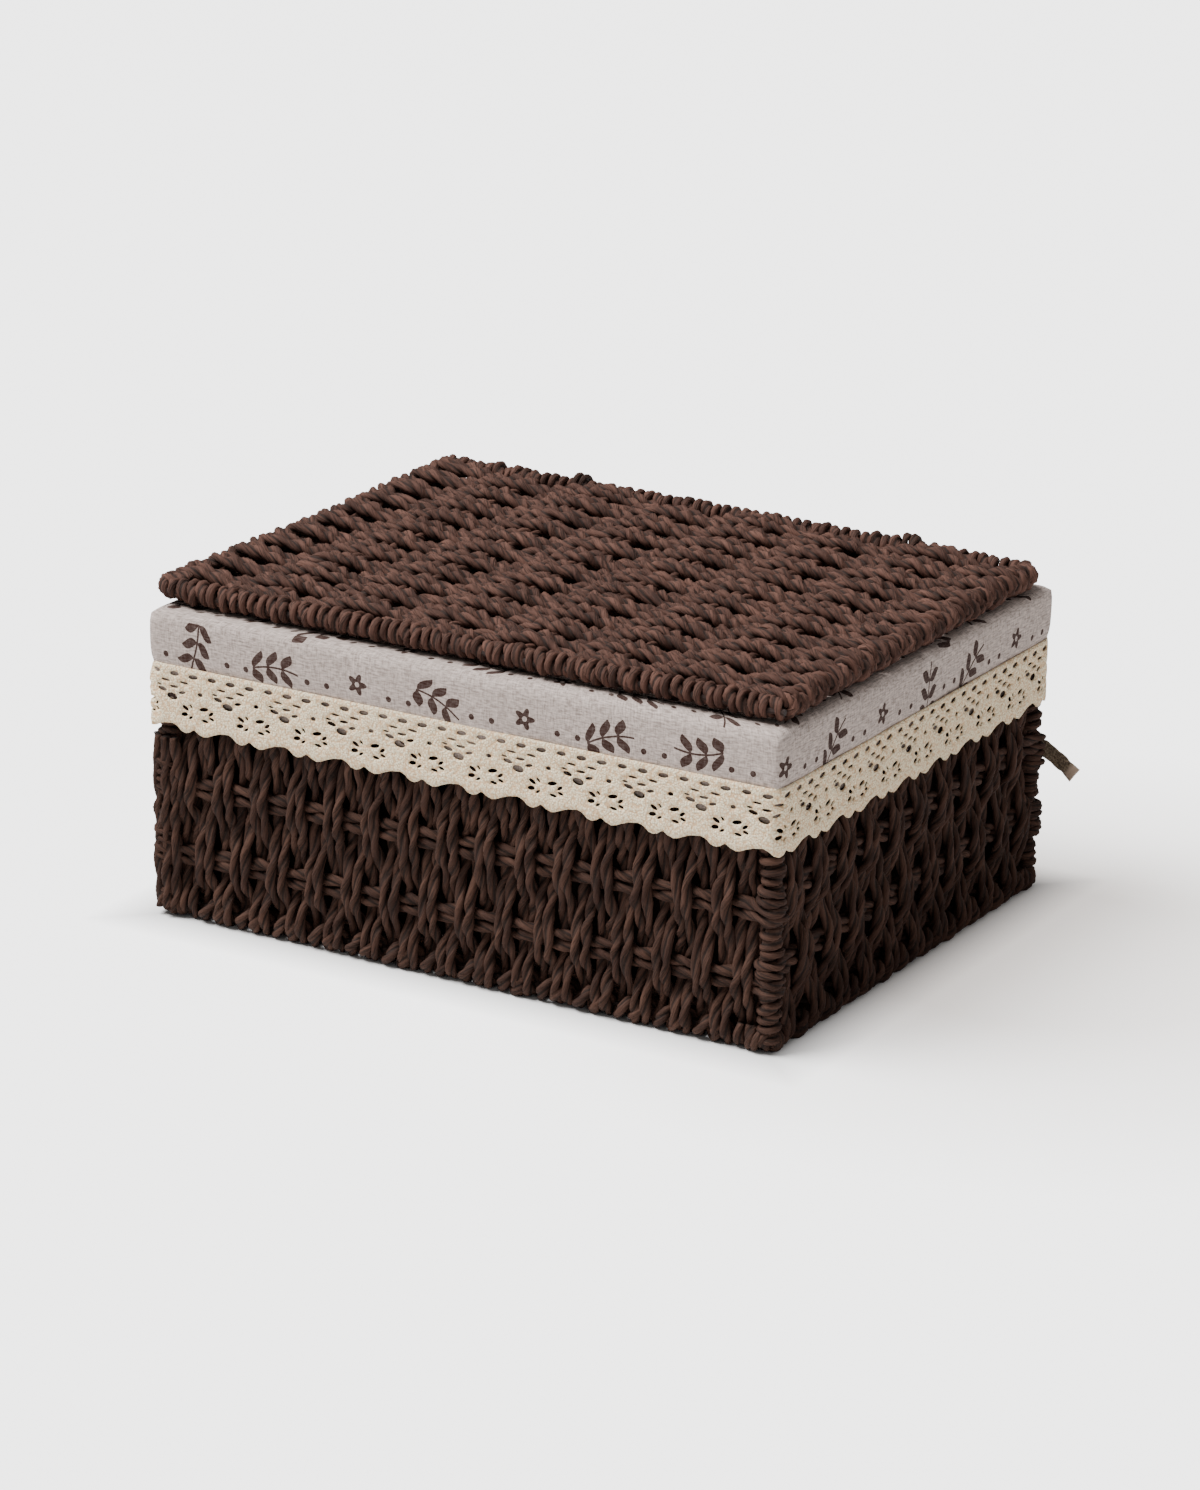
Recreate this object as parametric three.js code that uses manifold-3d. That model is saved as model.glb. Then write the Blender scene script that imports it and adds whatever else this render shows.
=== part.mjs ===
// Paper rope storage box with a woven lid, a folded linen liner and a lace trim.
// Millimetres, +Z up. The origin is on the floor below the middle of the box.
// X runs along the long side, the front wall faces -Y and the lid turns at the back.
import * as THREE from 'three';
import Module from 'manifold-3d';
import { mergeVertices } from 'three/addons/utils/BufferGeometryUtils.js';

const wasm = await Module();
wasm.setup();

// Driving dimensions
const boxLength = 340;          // over the two woven end walls
const boxWidth = 270;           // over the woven front and back walls
const wallHeight = 154;         // woven wall, floor to the top of its rim loops
const lidShorter = 3;           // the lid's length is this much under the box's
const lidNarrower = 5;          // and its width this much
const wireDiameter = 3.2;       // steel wire of both frames
const strandThickness = 4.2;    // a flat pair of paper ropes, the working strand
const stakeThickness = 3.4;     // the pressed pair of ropes that the strands pass
const stakeHeight = 9.2;
const hookThickness = 2.6;      // the end of a stake, bent round a corner post
const hookHeight = 5;
const longWallPitch = 10.25;    // working strands of the front and back walls
const endWallPitch = 11.8;
const lidPitch = 11;
const strandSpace = 0.45;       // air between two strands side by side
const longWallRows = [38, 73, 108];
const endWallRows = [45, 80, 115];
const lidStakeCount = 6;
const clearance = 0.3;          // between two pieces that touch
const wovenClearance = 0.35;    // between a strand and the stake that it passes
const postWrapThickness = 2.6;
const postTurns = 24;
const rimWrapThickness = 3.9;
const rimTurns = 24;
const wrapSpace = 0.55;         // air between two turns of one winding
const linerThickness = 1.2;
const linerStandOff = 2.7;      // the skirt stands out over the hooks on the posts
const linerSlack = 2.2;         // the liner hangs clear inside the walls
const skirtHem = 128.3;         // lower edge of the skirt, above the floor
const laceThickness = 1.4;
const laceHeight = 32;
const lacePeriod = 32;
const hingePlace = 92;          // from the middle of the box to each rope tie
const tieWidth = 4.4;
const tieThickness = 2.6;
const floorLift = 0.8;          // the woven bottom is lashed just off the floor
const ribbonWidth = 8;
const ribbonThickness = 0.9;

// Places that follow from the driving dimensions
const lidLength = boxLength - lidShorter;
const lidWidth = boxWidth - lidNarrower;
const wireRadius = wireDiameter / 2;
const strandInset = wireRadius + clearance;
const rodDepth = strandInset + strandThickness;
const rowOffset = stakeThickness / 2 + wovenClearance + strandThickness / 2;
const bottomRod = rodDepth;
const topRod = wallHeight - rodDepth;

// A strand leans across from one side of a rod to the other side of the next row, so
// near the rod it stands this far off the panel's middle
function leaningSide(toNextRow) {
  const slope = 2 * (rowOffset + wovenClearance) / toNextRow;
  return strandInset * (Math.hypot(1, slope) + slope);
}
const shortestLean = Math.min(longWallRows[0] - bottomRod, topRod - longWallRows.at(-1),
  endWallRows[0] - bottomRod, topRod - endWallRows.at(-1));
const wallHalf = leaningSide(shortestLean) + strandThickness;
const postX = boxLength / 2 - wallHalf;
const postY = boxWidth / 2 - wallHalf;
const turnSteps = 6;
const turnCosine = Math.cos(Math.PI / turnSteps);
const postWrapInner = (wireRadius + clearance) / turnCosine;
const postOuter = postWrapInner + postWrapThickness;
const hookStep = Math.PI / 4;
const hookRadius = (postOuter + clearance + hookThickness / 2) / Math.cos(hookStep / 2);
const hookOuter = hookRadius + hookThickness / 2 / Math.cos(hookStep / 2);
const cornerCut = (postOuter + clearance + wireRadius) * Math.SQRT2;
const strandStart = Math.max(hookOuter + clearance, cornerCut + wireRadius * Math.tan(Math.PI / 8));
const foldTop = wallHeight + clearance + linerThickness;
const lidUnder = foldTop + clearance;
const lidEnd = leaningSide(lidLength / (lidStakeCount + 2)) + strandThickness;
const lidMiddle = lidUnder + lidEnd;
const lidRodX = lidLength / 2 - lidEnd;
const rimOuter = (wireRadius + clearance) / turnCosine + rimWrapThickness;
const lidRodY = lidWidth / 2 - rimOuter;
const skirtX = boxLength / 2 + linerStandOff + linerThickness;
const skirtY = boxWidth / 2 + linerStandOff + linerThickness;
const linerInnerX = postX - hookOuter - linerSlack;
const linerInnerY = postY - hookOuter - linerSlack;

// Materials
function material(color, roughness, metalness = 0) {
  return new THREE.MeshStandardMaterial({ color, roughness, metalness });
}
const rope = material(0x4a3731, 0.85);
const lidRope = material(0x54403a, 0.85);
const steel = material(0x8b8d90, 0.4, 0.9);
const linen = material(0xc9c0bb, 0.95);
const lace = material(0xdecdb4, 0.95);
const tape = material(0x6b564c, 0.9);

const model = new THREE.Group();
model.name = 'paper_rope_storage_box';

function addPiece(name, geometry, pieceMaterial) {
  const mesh = new THREE.Mesh(geometry, pieceMaterial);
  mesh.name = name;
  model.add(mesh);
  return mesh;
}

// Six times the volume inside a closed indexed surface, to tell which way it faces
function signedVolume(positions, index) {
  const point = (i) => new THREE.Vector3(...positions[i]);
  let total = 0;
  for (let i = 0; i < index.length; i += 3) {
    const [a, b, c] = [point(index[i]), point(index[i + 1]), point(index[i + 2])];
    total += a.dot(b.cross(c));
  }
  return total;
}

function solid(positions, index) {
  const facing = signedVolume(positions, index) < 0 ? [...index].reverse() : index;
  const geometry = new THREE.BufferGeometry();
  geometry.setAttribute('position', new THREE.Float32BufferAttribute(positions.flat(), 3));
  geometry.setIndex(facing);
  geometry.computeVertexNormals();
  return geometry;
}

// Triangles that close an outline, each in the outline's own direction round
function closingTriangles(outline) {
  const points = outline.map(([u, v]) => new THREE.Vector2(u, v));
  const turn = Math.sign(THREE.ShapeUtils.area(points));
  return THREE.ShapeUtils.triangulateShape(points, []).map(([a, b, c]) => {
    const same = Math.sign(THREE.ShapeUtils.area([points[a], points[b], points[c]])) === turn;
    return same ? [a, b, c] : [a, c, b];
  });
}

function fan(sides) {
  return Array.from({ length: sides - 2 }, (_, s) => [0, s + 1, s + 2]);
}

// A closed tube through rings of equal point counts, capped at both ends or joined
// into a hoop
function loft(rings, hoop = false, caps = fan(rings[0].length)) {
  const sides = rings[0].length;
  const index = [];
  const links = hoop ? rings.length : rings.length - 1;
  for (let r = 0; r < links; r += 1) {
    const here = r * sides;
    const next = ((r + 1) % rings.length) * sides;
    for (let s = 0; s < sides; s += 1) {
      const t = (s + 1) % sides;
      index.push(here + s, here + t, next + t, here + s, next + t, next + s);
    }
  }
  if (!hoop) {
    const last = (rings.length - 1) * sides;
    for (const [a, b, c] of caps) index.push(a, c, b, last + a, last + b, last + c);
  }
  return solid(rings.flat(), index);
}

// The exact solid inside a closed geometry, and back again
function toManifold(geometry) {
  const bare = geometry.clone();
  bare.deleteAttribute('normal');
  bare.deleteAttribute('uv');
  const merged = mergeVertices(bare, 1e-5);
  return new wasm.Manifold(new wasm.Mesh({
    numProp: 3,
    vertProperties: Float32Array.from(merged.attributes.position.array),
    triVerts: Uint32Array.from(merged.index.array),
  }));
}

function cutFrom(geometry, cutters) {
  let body = toManifold(geometry);
  for (const cutter of cutters) body = body.subtract(toManifold(cutter));
  const mesh = body.getMesh();
  const result = new THREE.BufferGeometry();
  result.setAttribute('position', new THREE.Float32BufferAttribute(mesh.vertProperties, 3));
  result.setIndex(Array.from(mesh.triVerts));
  result.computeVertexNormals();
  return result;
}

// Outline of a flat rope pair: its width runs along the first number of each point
// and its thickness, from -1 to 1, along the second
function pairSection(width) {
  const round = width / 5;
  const half = width / 2;
  return [[-half, 0], [round - half, -1], [half - round, -1],
    [half, 0], [half - round, 1], [round - half, 1]];
}

function ridgeSection(width) {
  const half = width / 2;
  return [[-half, 0], [0, -1], [half, 0], [0, 1]];
}

// One unbroken working strand, woven up and down between two rods. It passes every
// stake row alternately in front and behind and turns round the rods at the ends.
// In each ring s runs along the rods, n out of the panel and h from rod to rod.
function wovenStrand({ places, rows, lowRod, highRod, section, toWorld }) {
  const rings = [];
  const half = strandThickness / 2;
  const turn = strandInset + half;
  const lowSide = leaningSide(rows[0] - lowRod) + half;
  const highSide = leaningSide(highRod - rows.at(-1)) + half;
  const lastRow = rows.length + 1;
  const sideAt = (row, k) => ((row + k) % 2 === 0 ? 1 : -1);
  const ring = (s, n, h, alongN, alongH) => {
    rings.push(section.map(([w, t]) => toWorld(s + w, n + t * alongN, h + t * alongH)));
  };
  places.forEach((s, k) => {
    const down = k % 2 === 0;
    const facing = down ? 1 : -1;
    const rod = (row, isEnd) => {
      const side = sideAt(row, k);
      const out = row === 0 ? -1 : 1;
      const h = row === 0 ? lowRod : highRod;
      const n = side * (row === 0 ? lowSide : highSide);
      if (isEnd) ring(s, n, h + out * turn / 2, facing * half, 0);
      else ring(s, n, h + out * turn, facing * half, facing * side * out * half);
    };
    rod(down ? lastRow : 0, k === 0);
    const order = down ? [...rows.keys()].reverse() : [...rows.keys()];
    for (const row of order) {
      ring(s, sideAt(row + 1, k) * rowOffset, rows[row], facing * half, 0);
    }
    rod(down ? 0 : lastRow, k === places.length - 1);
  });
  return loft(rings);
}

// Middles of the strands between two ends, spread evenly, with a wider space left
// after an even count of strands at each opening
function strandPlaces(span, pitch, openings = []) {
  const usable = span - openings.length * (tieWidth + 2 * clearance);
  const count = 2 * Math.round((usable / pitch - 1) / 2) + 1;
  const step = usable / count;
  const places = [];
  let at = -span / 2 + step / 2;
  let opened = 0;
  for (let k = 0; k < count; k += 1) {
    places.push(at);
    at += step;
    const wanted = openings[opened];
    if (wanted !== undefined && k % 2 === 0 && at - step / 2 > wanted - step) {
      at += tieWidth + 2 * clearance;
      opened += 1;
    }
  }
  return { places, step };
}

// Middle of the space that strandPlaces leaves for the rope tie number i
function openingPlace(places, step, i) {
  let seen = 0;
  for (let k = 1; k < places.length; k += 1) {
    const jump = places[k] - places[k - 1] - step;
    if (jump > tieWidth) {
      if (seen === i) return (places[k] + places[k - 1]) / 2;
      seen += 1;
    }
  }
  throw new Error('no space was left for a rope tie');
}

// A flat ribbon along a path in plan, mitred at its bends; height runs along Z
function planRibbon(points, section, toWorld) {
  const rings = points.map(([s, n, thickness, height], i) => {
    const before = points[Math.max(i - 1, 0)];
    const after = points[Math.min(i + 1, points.length - 1)];
    const inward = new THREE.Vector2(s - before[0], n - before[1]);
    const outward = new THREE.Vector2(after[0] - s, after[1] - n);
    if (inward.length() === 0) inward.copy(outward);
    if (outward.length() === 0) outward.copy(inward);
    inward.normalize();
    outward.normalize();
    const along = inward.clone().add(outward).normalize();
    const widen = thickness / 2 / along.dot(inward);
    return section(height).map(([z, t]) => (
      toWorld(s - along.y * t * widen, n + along.x * t * widen, z)));
  });
  return loft(rings);
}

// The frame and the four walls
const walls = [
  { name: 'front', half: postX, pitch: longWallPitch, rows: longWallRows,
    place: (s, n, h) => [s, -postY - n, h] },
  { name: 'back', half: postX, pitch: longWallPitch, rows: longWallRows,
    place: (s, n, h) => [-s, postY + n, h], openings: [-hingePlace, hingePlace] },
  { name: 'left', half: postY, pitch: endWallPitch, rows: endWallRows,
    place: (s, n, h) => [-postX - n, -s, h] },
  { name: 'right', half: postY, pitch: endWallPitch, rows: endWallRows,
    place: (s, n, h) => [postX + n, s, h] },
];

// A wire bent into a rectangle with its corners cut across
function wireHoop(halfX, halfY, z, cut) {
  const sides = 6;
  const bend = 1 / Math.cos(Math.PI / 8);
  const rings = [];
  const corners = [[1, 1], [-1, 1], [-1, -1], [1, -1]];
  corners.forEach(([sx, sy], corner) => {
    const ends = [[halfX, halfY - cut], [halfX - cut, halfY]];
    if (corner % 2 === 1) ends.reverse();
    ends.forEach(([x, y], i) => {
      const angle = (corner + (2 * i + 1) / 4) * Math.PI / 2;
      const ring = [];
      for (let s = 0; s < sides; s += 1) {
        const around = 2 * Math.PI * (s + 0.5) / sides;
        const out = wireRadius * bend * Math.cos(around);
        ring.push([sx * x + out * Math.cos(angle), sy * y + out * Math.sin(angle),
          z + wireRadius * Math.sin(around)]);
      }
      rings.push(ring);
    });
  });
  return loft(rings, true);
}

// A straight wire along X, Y or Z
function rod(axis, length, [x, y, z]) {
  const wire = new THREE.CylinderGeometry(wireRadius, wireRadius, length, 8);
  if (axis === 'x') wire.rotateZ(Math.PI / 2);
  if (axis === 'z') wire.rotateX(Math.PI / 2);
  wire.translate(x, y, z);
  return wire;
}

addPiece('bottom_ring_wire', wireHoop(postX, postY, bottomRod, cornerCut), steel);
addPiece('top_ring_wire', wireHoop(postX, postY, topRod, cornerCut), steel);

const backWall = strandPlaces(2 * (postX - strandStart), longWallPitch, [-hingePlace, hingePlace]);

for (const wall of walls) {
  const spread = strandPlaces(2 * (wall.half - strandStart), wall.pitch, wall.openings);
  const width = spread.step - strandSpace;
  addPiece(`wall_weave_${wall.name}`, wovenStrand({
    places: spread.places,
    rows: wall.rows,
    lowRod: bottomRod,
    highRod: topRod,
    section: pairSection(width),
    toWorld: wall.place,
  }), rope);
  wall.rows.forEach((height, row) => {
    const points = stakePath(wall.half, row, spread.places.length);
    addPiece(`stake_${wall.name}_${row + 1}`, planRibbon(points, ridgeSection,
      (s, n, z) => wall.place(s, n, height + z)), rope);
  });
}

// A stake row: both ends bend round the corner posts, on the side that the nearest
// strand leaves free
function stakePath(half, row, count) {
  const runStart = strandStart + strandThickness;
  const hook = (end, side) => {
    const points = [];
    for (let i = 1; i <= 6; i += 1) {
      const angle = i * hookStep;
      points.push([end * (half - hookRadius * Math.cos(angle)),
        side * hookRadius * Math.sin(angle), hookThickness, hookHeight]);
    }
    return points;
  };
  const sideOf = (k) => ((row + 1 + k) % 2 === 0 ? -1 : 1);
  const left = hook(-1, sideOf(0)).reverse();
  const right = hook(1, sideOf(count - 1));
  return [...left,
    [-half + runStart, 0, stakeThickness, stakeHeight],
    [half - runStart, 0, stakeThickness, stakeHeight],
    ...right];
}

// Least space between neighbouring turns of a winding, measured between the points of
// each ring and of the ring one turn further on
function turnGap(rings) {
  let least = Infinity;
  for (let i = 0; i + turnSteps < rings.length; i += 1) {
    for (const a of rings[i]) {
      for (const b of rings[i + turnSteps]) {
        least = Math.min(least, Math.hypot(a[0] - b[0], a[1] - b[1], a[2] - b[2]));
      }
    }
  }
  return least;
}
let leastTurnGap = Infinity;

// Rope wound round a straight rod: one unbroken helix of flat turns
function winding({ start, end, turns, inner, thickness, toWorld, flatTop = false }) {
  const pitch = (end - start) / (turns + 1);
  const width = pitch - wrapSpace;
  const top = flatTop ? width / 5 : 0;
  const section = flatTop
    ? [[-width / 2, 0], [width / 2, 0], [top, 1], [-top, 1]]
    : [[-width / 2, 0], [width / 2, 0], [0, 1]];
  const rings = [];
  const count = turns * turnSteps;
  for (let i = 0; i <= count; i += 1) {
    const angle = 2 * Math.PI * i / turnSteps;
    const along = start + pitch / 2 + pitch * i / turnSteps;
    rings.push(section.map(([w, t]) => {
      const radius = inner + t * thickness;
      return toWorld(along + w, radius * Math.cos(angle), radius * Math.sin(angle));
    }));
  }
  leastTurnGap = Math.min(leastTurnGap, turnGap(rings));
  return loft(rings);
}

const postLow = clearance / 2;
const postHigh = wallHeight - clearance / 2;
const corners = [
  ['front_left', -1, -1], ['front_right', 1, -1], ['back_left', -1, 1], ['back_right', 1, 1],
];
for (const [name, sx, sy] of corners) {
  const middle = [sx * postX, sy * postY, (postHigh + postLow) / 2];
  addPiece(`corner_wire_${name}`, rod('z', postHigh - postLow, middle), steel);
  addPiece(`post_wrap_${name}`, winding({
    start: postLow,
    end: postHigh,
    turns: postTurns,
    inner: postWrapInner,
    thickness: postWrapThickness,
    toWorld: (a, u, v) => [sx * (postX + u), sy * (postY + v), a],
  }), rope);
}

// The woven bottom, on a wire of its own inside the walls
const bottomMiddle = floorLift + rodDepth;
const bottomEnd = leaningSide(postX * 2 / (lidStakeCount + 2)) + strandThickness;
const bottomRodX = postX - wallHalf - clearance - bottomEnd;
const bottomRodY = postY - wallHalf - clearance - wireRadius;

function stakeRows(halfSpan, count) {
  const pitch = 2 * halfSpan / (count + 1);
  return Array.from({ length: count }, (_, i) => -halfSpan + pitch * (i + 1));
}

const bottomRows = stakeRows(bottomRodX, lidStakeCount);
const bottomSpread = strandPlaces(2 * (bottomRodY - 2 * strandInset), lidPitch);
addPiece('bottom_wire', wireHoop(bottomRodX, bottomRodY, bottomMiddle, strandInset), steel);
addPiece('bottom_weave', wovenStrand({
  places: bottomSpread.places,
  rows: bottomRows,
  lowRod: -bottomRodX,
  highRod: bottomRodX,
  section: ridgeSection(bottomSpread.step - strandSpace),
  toWorld: (s, n, h) => [h, s, bottomMiddle + n],
}), rope);

function crossStake(x, halfLength, middle) {
  const path = [[-halfLength, 0, stakeThickness, stakeHeight],
    [halfLength, 0, stakeThickness, stakeHeight]];
  return planRibbon(path, ridgeSection, (s, n, z) => [x + z, s, middle + n]);
}

bottomRows.forEach((x, i) => {
  addPiece(`bottom_stake_${i + 1}`, crossStake(x, bottomRodY - strandInset, bottomMiddle), rope);
});

// The lid: four wires, stakes and one woven strand, with wound front and back rims
const lidRows = stakeRows(lidRodX, lidStakeCount);
const lidInside = lidRodY - rimOuter - clearance;
const lidSpread = strandPlaces(2 * lidInside, lidPitch);
const rimEnd = lidLength / 2 - clearance;
addPiece('lid_wire_front', rod('x', 2 * rimEnd, [0, -lidRodY, lidMiddle]), steel);
addPiece('lid_wire_back', rod('x', 2 * rimEnd, [0, lidRodY, lidMiddle]), steel);
addPiece('lid_wire_left', rod('y', 2 * lidInside, [-lidRodX, 0, lidMiddle]), steel);
addPiece('lid_wire_right', rod('y', 2 * lidInside, [lidRodX, 0, lidMiddle]), steel);
addPiece('lid_weave', wovenStrand({
  places: lidSpread.places,
  rows: lidRows,
  lowRod: -lidRodX,
  highRod: lidRodX,
  section: pairSection(lidSpread.step - strandSpace),
  toWorld: (s, n, h) => [h, s, lidMiddle + n],
}), lidRope);
lidRows.forEach((x, i) => {
  addPiece(`lid_stake_${i + 1}`, crossStake(x, lidInside, lidMiddle), lidRope);
});

// Rope ties at the back: each is a closed link round the rim wire of the box and the
// rear wire of the lid, which turns in it
const tiePlaces = [0, 1].map((i) => -openingPlace(backWall.places, backWall.step, i));
tiePlaces.sort((a, b) => a - b);
const tieRoom = tieWidth / 2 + clearance;
const rimStretches = [
  ['lid_rim_front', -1, -rimEnd, rimEnd, rimTurns],
  ['lid_rim_back_left', 1, -rimEnd, tiePlaces[0] - tieRoom, Math.round(rimTurns / 4)],
  ['lid_rim_back_middle', 1, tiePlaces[0] + tieRoom, tiePlaces[1] - tieRoom, Math.round(rimTurns / 2)],
  ['lid_rim_back_right', 1, tiePlaces[1] + tieRoom, rimEnd, Math.round(rimTurns / 4)],
];
for (const [name, side, from, to, turns] of rimStretches) {
  addPiece(name, winding({
    start: from,
    end: to,
    turns,
    inner: strandInset / turnCosine,
    thickness: rimWrapThickness,
    flatTop: true,
    toWorld: (a, u, v) => [a, side * (lidRodY + v), lidMiddle + u],
  }), lidRope);
}

function hingeTie(x) {
  const inner = strandInset / Math.cos(Math.PI / 8);
  const outer = inner + tieThickness;
  const rise = new THREE.Vector2(lidRodY - postY, lidMiddle - topRod);
  const lean = Math.atan2(-rise.x, rise.y);
  const rings = [];
  for (const [y, z, from] of [[lidRodY, lidMiddle, 0], [postY, topRod, Math.PI]]) {
    for (let i = 0; i <= 4; i += 1) {
      const angle = from + lean + Math.PI * i / 4;
      const ring = [[-1, inner], [1, inner], [1, outer], [-1, outer]];
      rings.push(ring.map(([side, radius]) => [x + side * tieWidth / 2,
        y + radius * Math.cos(angle), z + radius * Math.sin(angle)]));
    }
  }
  return loft(rings, true);
}
addPiece('hinge_tie_left', hingeTie(tiePlaces[0]), rope);
addPiece('hinge_tie_right', hingeTie(tiePlaces[1]), rope);

// The liner: a floor and four walls of linen, each folded over the rim into a skirt.
// Depth counts inwards from the outer face of the skirt, and the ends are mitred.
const linerFloorTop = bottomMiddle + rowOffset + strandThickness / 2 + clearance + linerThickness;
const linerFloor = new THREE.BoxGeometry(2 * (linerInnerX + linerThickness),
  2 * (linerInnerY + linerThickness), linerThickness);
linerFloor.translate(0, 0, linerFloorTop - linerThickness / 2);
addPiece('liner_floor', linerFloor, linen);

function foldProfile(innerDepth) {
  const t = linerThickness;
  const soft = 2;
  const foot = linerFloorTop + clearance;
  return [[0, skirtHem], [0, foldTop - soft], [soft, foldTop], [innerDepth - soft, foldTop],
    [innerDepth, foldTop - soft], [innerDepth, foot], [innerDepth - t, foot],
    [innerDepth - t, foldTop - t - soft / 2], [innerDepth - t - soft / 2, foldTop - t],
    [t + soft / 2, foldTop - t], [t, foldTop - t - soft / 2], [t, skirtHem]];
}

function linerWall(innerDepth, halfLength, toWorld) {
  const profile = foldProfile(innerDepth);
  const seam = clearance / 2;
  const ring = (end) => profile.map(([d, z]) => toWorld(end * (halfLength - d - seam), d, z));
  return loft([ring(-1), ring(1)], false, closingTriangles(profile));
}
const foldDepth = skirtX - linerInnerX;

// The slit that a rope tie passes through, in the fold over the rim
function tieSlot(x) {
  const reach = strandInset / Math.cos(Math.PI / 8) + tieThickness + clearance;
  const from = Math.min(lidRodY, postY) - reach;
  const to = Math.max(lidRodY, postY) + reach;
  const deep = 2 * linerThickness;
  const slot = new THREE.BoxGeometry(tieWidth + 2 * clearance, to - from, 2 * deep);
  slot.translate(x, (from + to) / 2, foldTop);
  return slot;
}
addPiece('liner_front', linerWall(foldDepth, skirtX, (s, d, z) => [s, d - skirtY, z]), linen);
const backLiner = linerWall(foldDepth, skirtX, (s, d, z) => [s, skirtY - d, z]);
addPiece('liner_back', cutFrom(backLiner, tiePlaces.map(tieSlot)), linen);
addPiece('liner_left', linerWall(foldDepth, skirtY, (s, d, z) => [d - skirtX, s, z]), linen);
addPiece('liner_right', linerWall(foldDepth, skirtY, (s, d, z) => [skirtX - d, s, z]), linen);

// The lace: a scalloped band with one eyelet in each repeat, sewn along the hem. It
// goes once round the box and its ends meet behind the box.
const laceTop = skirtHem - clearance;
const laceBottom = laceTop - laceHeight;
const laceCorner = 5;
const scallop = [[0, 4], [0.2, 2.5], [0.5, 0], [0.8, 2.5], [1, 4]];
const eyelet = { width: 9, height: 6, above: 12, sides: 6 };

// Stations along the band: a place on its outer face and the way in to its inner face
function laceStations() {
  const inX = skirtX - laceCorner;
  const inY = skirtY - laceCorner;
  const sides = [
    [[inX, skirtY], [-inX, skirtY]], [[-skirtX, inY], [-skirtX, -inY]],
    [[-inX, -skirtY], [inX, -skirtY]], [[skirtX, -inY], [skirtX, inY]],
  ];
  const mitre = laceThickness * Math.tan(Math.PI / 8);
  const stations = [];
  sides.forEach(([from, to], side) => {
    const length = Math.hypot(to[0] - from[0], to[1] - from[1]);
    const along = [(to[0] - from[0]) / length, (to[1] - from[1]) / length];
    const inward = [-along[1] * laceThickness, along[0] * laceThickness];
    const repeats = 2 * Math.round(length / lacePeriod / 2);
    for (let i = 0; i <= repeats; i += 1) {
      const share = i / repeats;
      const lean = i === 0 ? mitre : i === repeats ? -mitre : 0;
      stations.push({
        at: [from[0] + share * (to[0] - from[0]), from[1] + share * (to[1] - from[1])],
        inward: [inward[0] + along[0] * lean, inward[1] + along[1] * lean],
        corner: i === repeats,
        side,
      });
    }
  });
  const seam = stations.findIndex((s) => s.side === 0 && Math.abs(s.at[0]) < clearance);
  const ordered = [...stations.slice(seam), ...stations.slice(0, seam + 1)];
  ordered[0] = { ...ordered[0], at: [ordered[0].at[0] - clearance / 2, ordered[0].at[1]] };
  const end = ordered.length - 1;
  ordered[end] = { ...ordered[end], at: [ordered[end].at[0] + clearance / 2, ordered[end].at[1]] };
  return ordered;
}

function laceBand() {
  const corners3d = [];
  const triangle = (a, b, c) => corners3d.push(a, b, c);
  const quad = (a, b, c, d) => {
    triangle(a, b, c);
    triangle(a, c, d);
  };
  const stations = laceStations();
  for (let i = 0; i < stations.length - 1; i += 1) {
    const [here, next] = [stations[i], stations[i + 1]];
    const length = Math.hypot(next.at[0] - here.at[0], next.at[1] - here.at[1]);
    const spot = (u, z, depth) => [0, 1].map((k) => (
      (1 - u) * (here.at[k] + depth * here.inward[k]) + u * (next.at[k] + depth * next.inward[k])
    )).concat(laceBottom + z);
    const lower = here.corner ? [[0, scallop[0][1]], [1, scallop[0][1]]] : scallop;
    const outline = [...lower, [1, laceHeight], [0, laceHeight]];
    const holes = here.corner ? [] : [Array.from({ length: eyelet.sides }, (_, s) => {
      const around = -2 * Math.PI * s / eyelet.sides;
      return [0.5 + eyelet.width / 2 / length * Math.cos(around),
        eyelet.above + eyelet.height / 2 * Math.sin(around)];
    })];
    const vectors = (points) => points.map(([u, z]) => new THREE.Vector2(u * length, z));
    const faces = THREE.ShapeUtils.triangulateShape(vectors(outline), holes.map(vectors));
    const all = [outline, ...holes].flat();
    for (const face of faces) {
      const flat = vectors(face.map((f) => all[f]));
      const [a, b, c] = THREE.ShapeUtils.area(flat) > 0 ? face : [...face].reverse();
      triangle(spot(...all[a], 0), spot(...all[b], 0), spot(...all[c], 0));
      triangle(spot(...all[a], 1), spot(...all[c], 1), spot(...all[b], 1));
    }
    const edge = (p, q) => quad(spot(...p, 0), spot(...p, 1), spot(...q, 1), spot(...q, 0));
    for (let s = 0; s < lower.length - 1; s += 1) edge(lower[s], lower[s + 1]);
    edge([1, laceHeight], [0, laceHeight]);
    for (const hole of holes) hole.forEach((p, s) => edge(p, hole[(s + 1) % hole.length]));
    if (i === 0) edge([0, laceHeight], lower[0]);
    if (i === stations.length - 2) edge(lower[lower.length - 1], [1, laceHeight]);
  }
  const key = (p) => p.map((value) => value.toFixed(4)).join(' ');
  const known = new Map();
  const positions = [];
  const index = corners3d.map((p) => {
    if (!known.has(key(p))) {
      known.set(key(p), positions.length);
      positions.push(p);
    }
    return known.get(key(p));
  });
  return solid(positions, index);
}
addPiece('lace_trim', laceBand(), lace);

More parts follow.
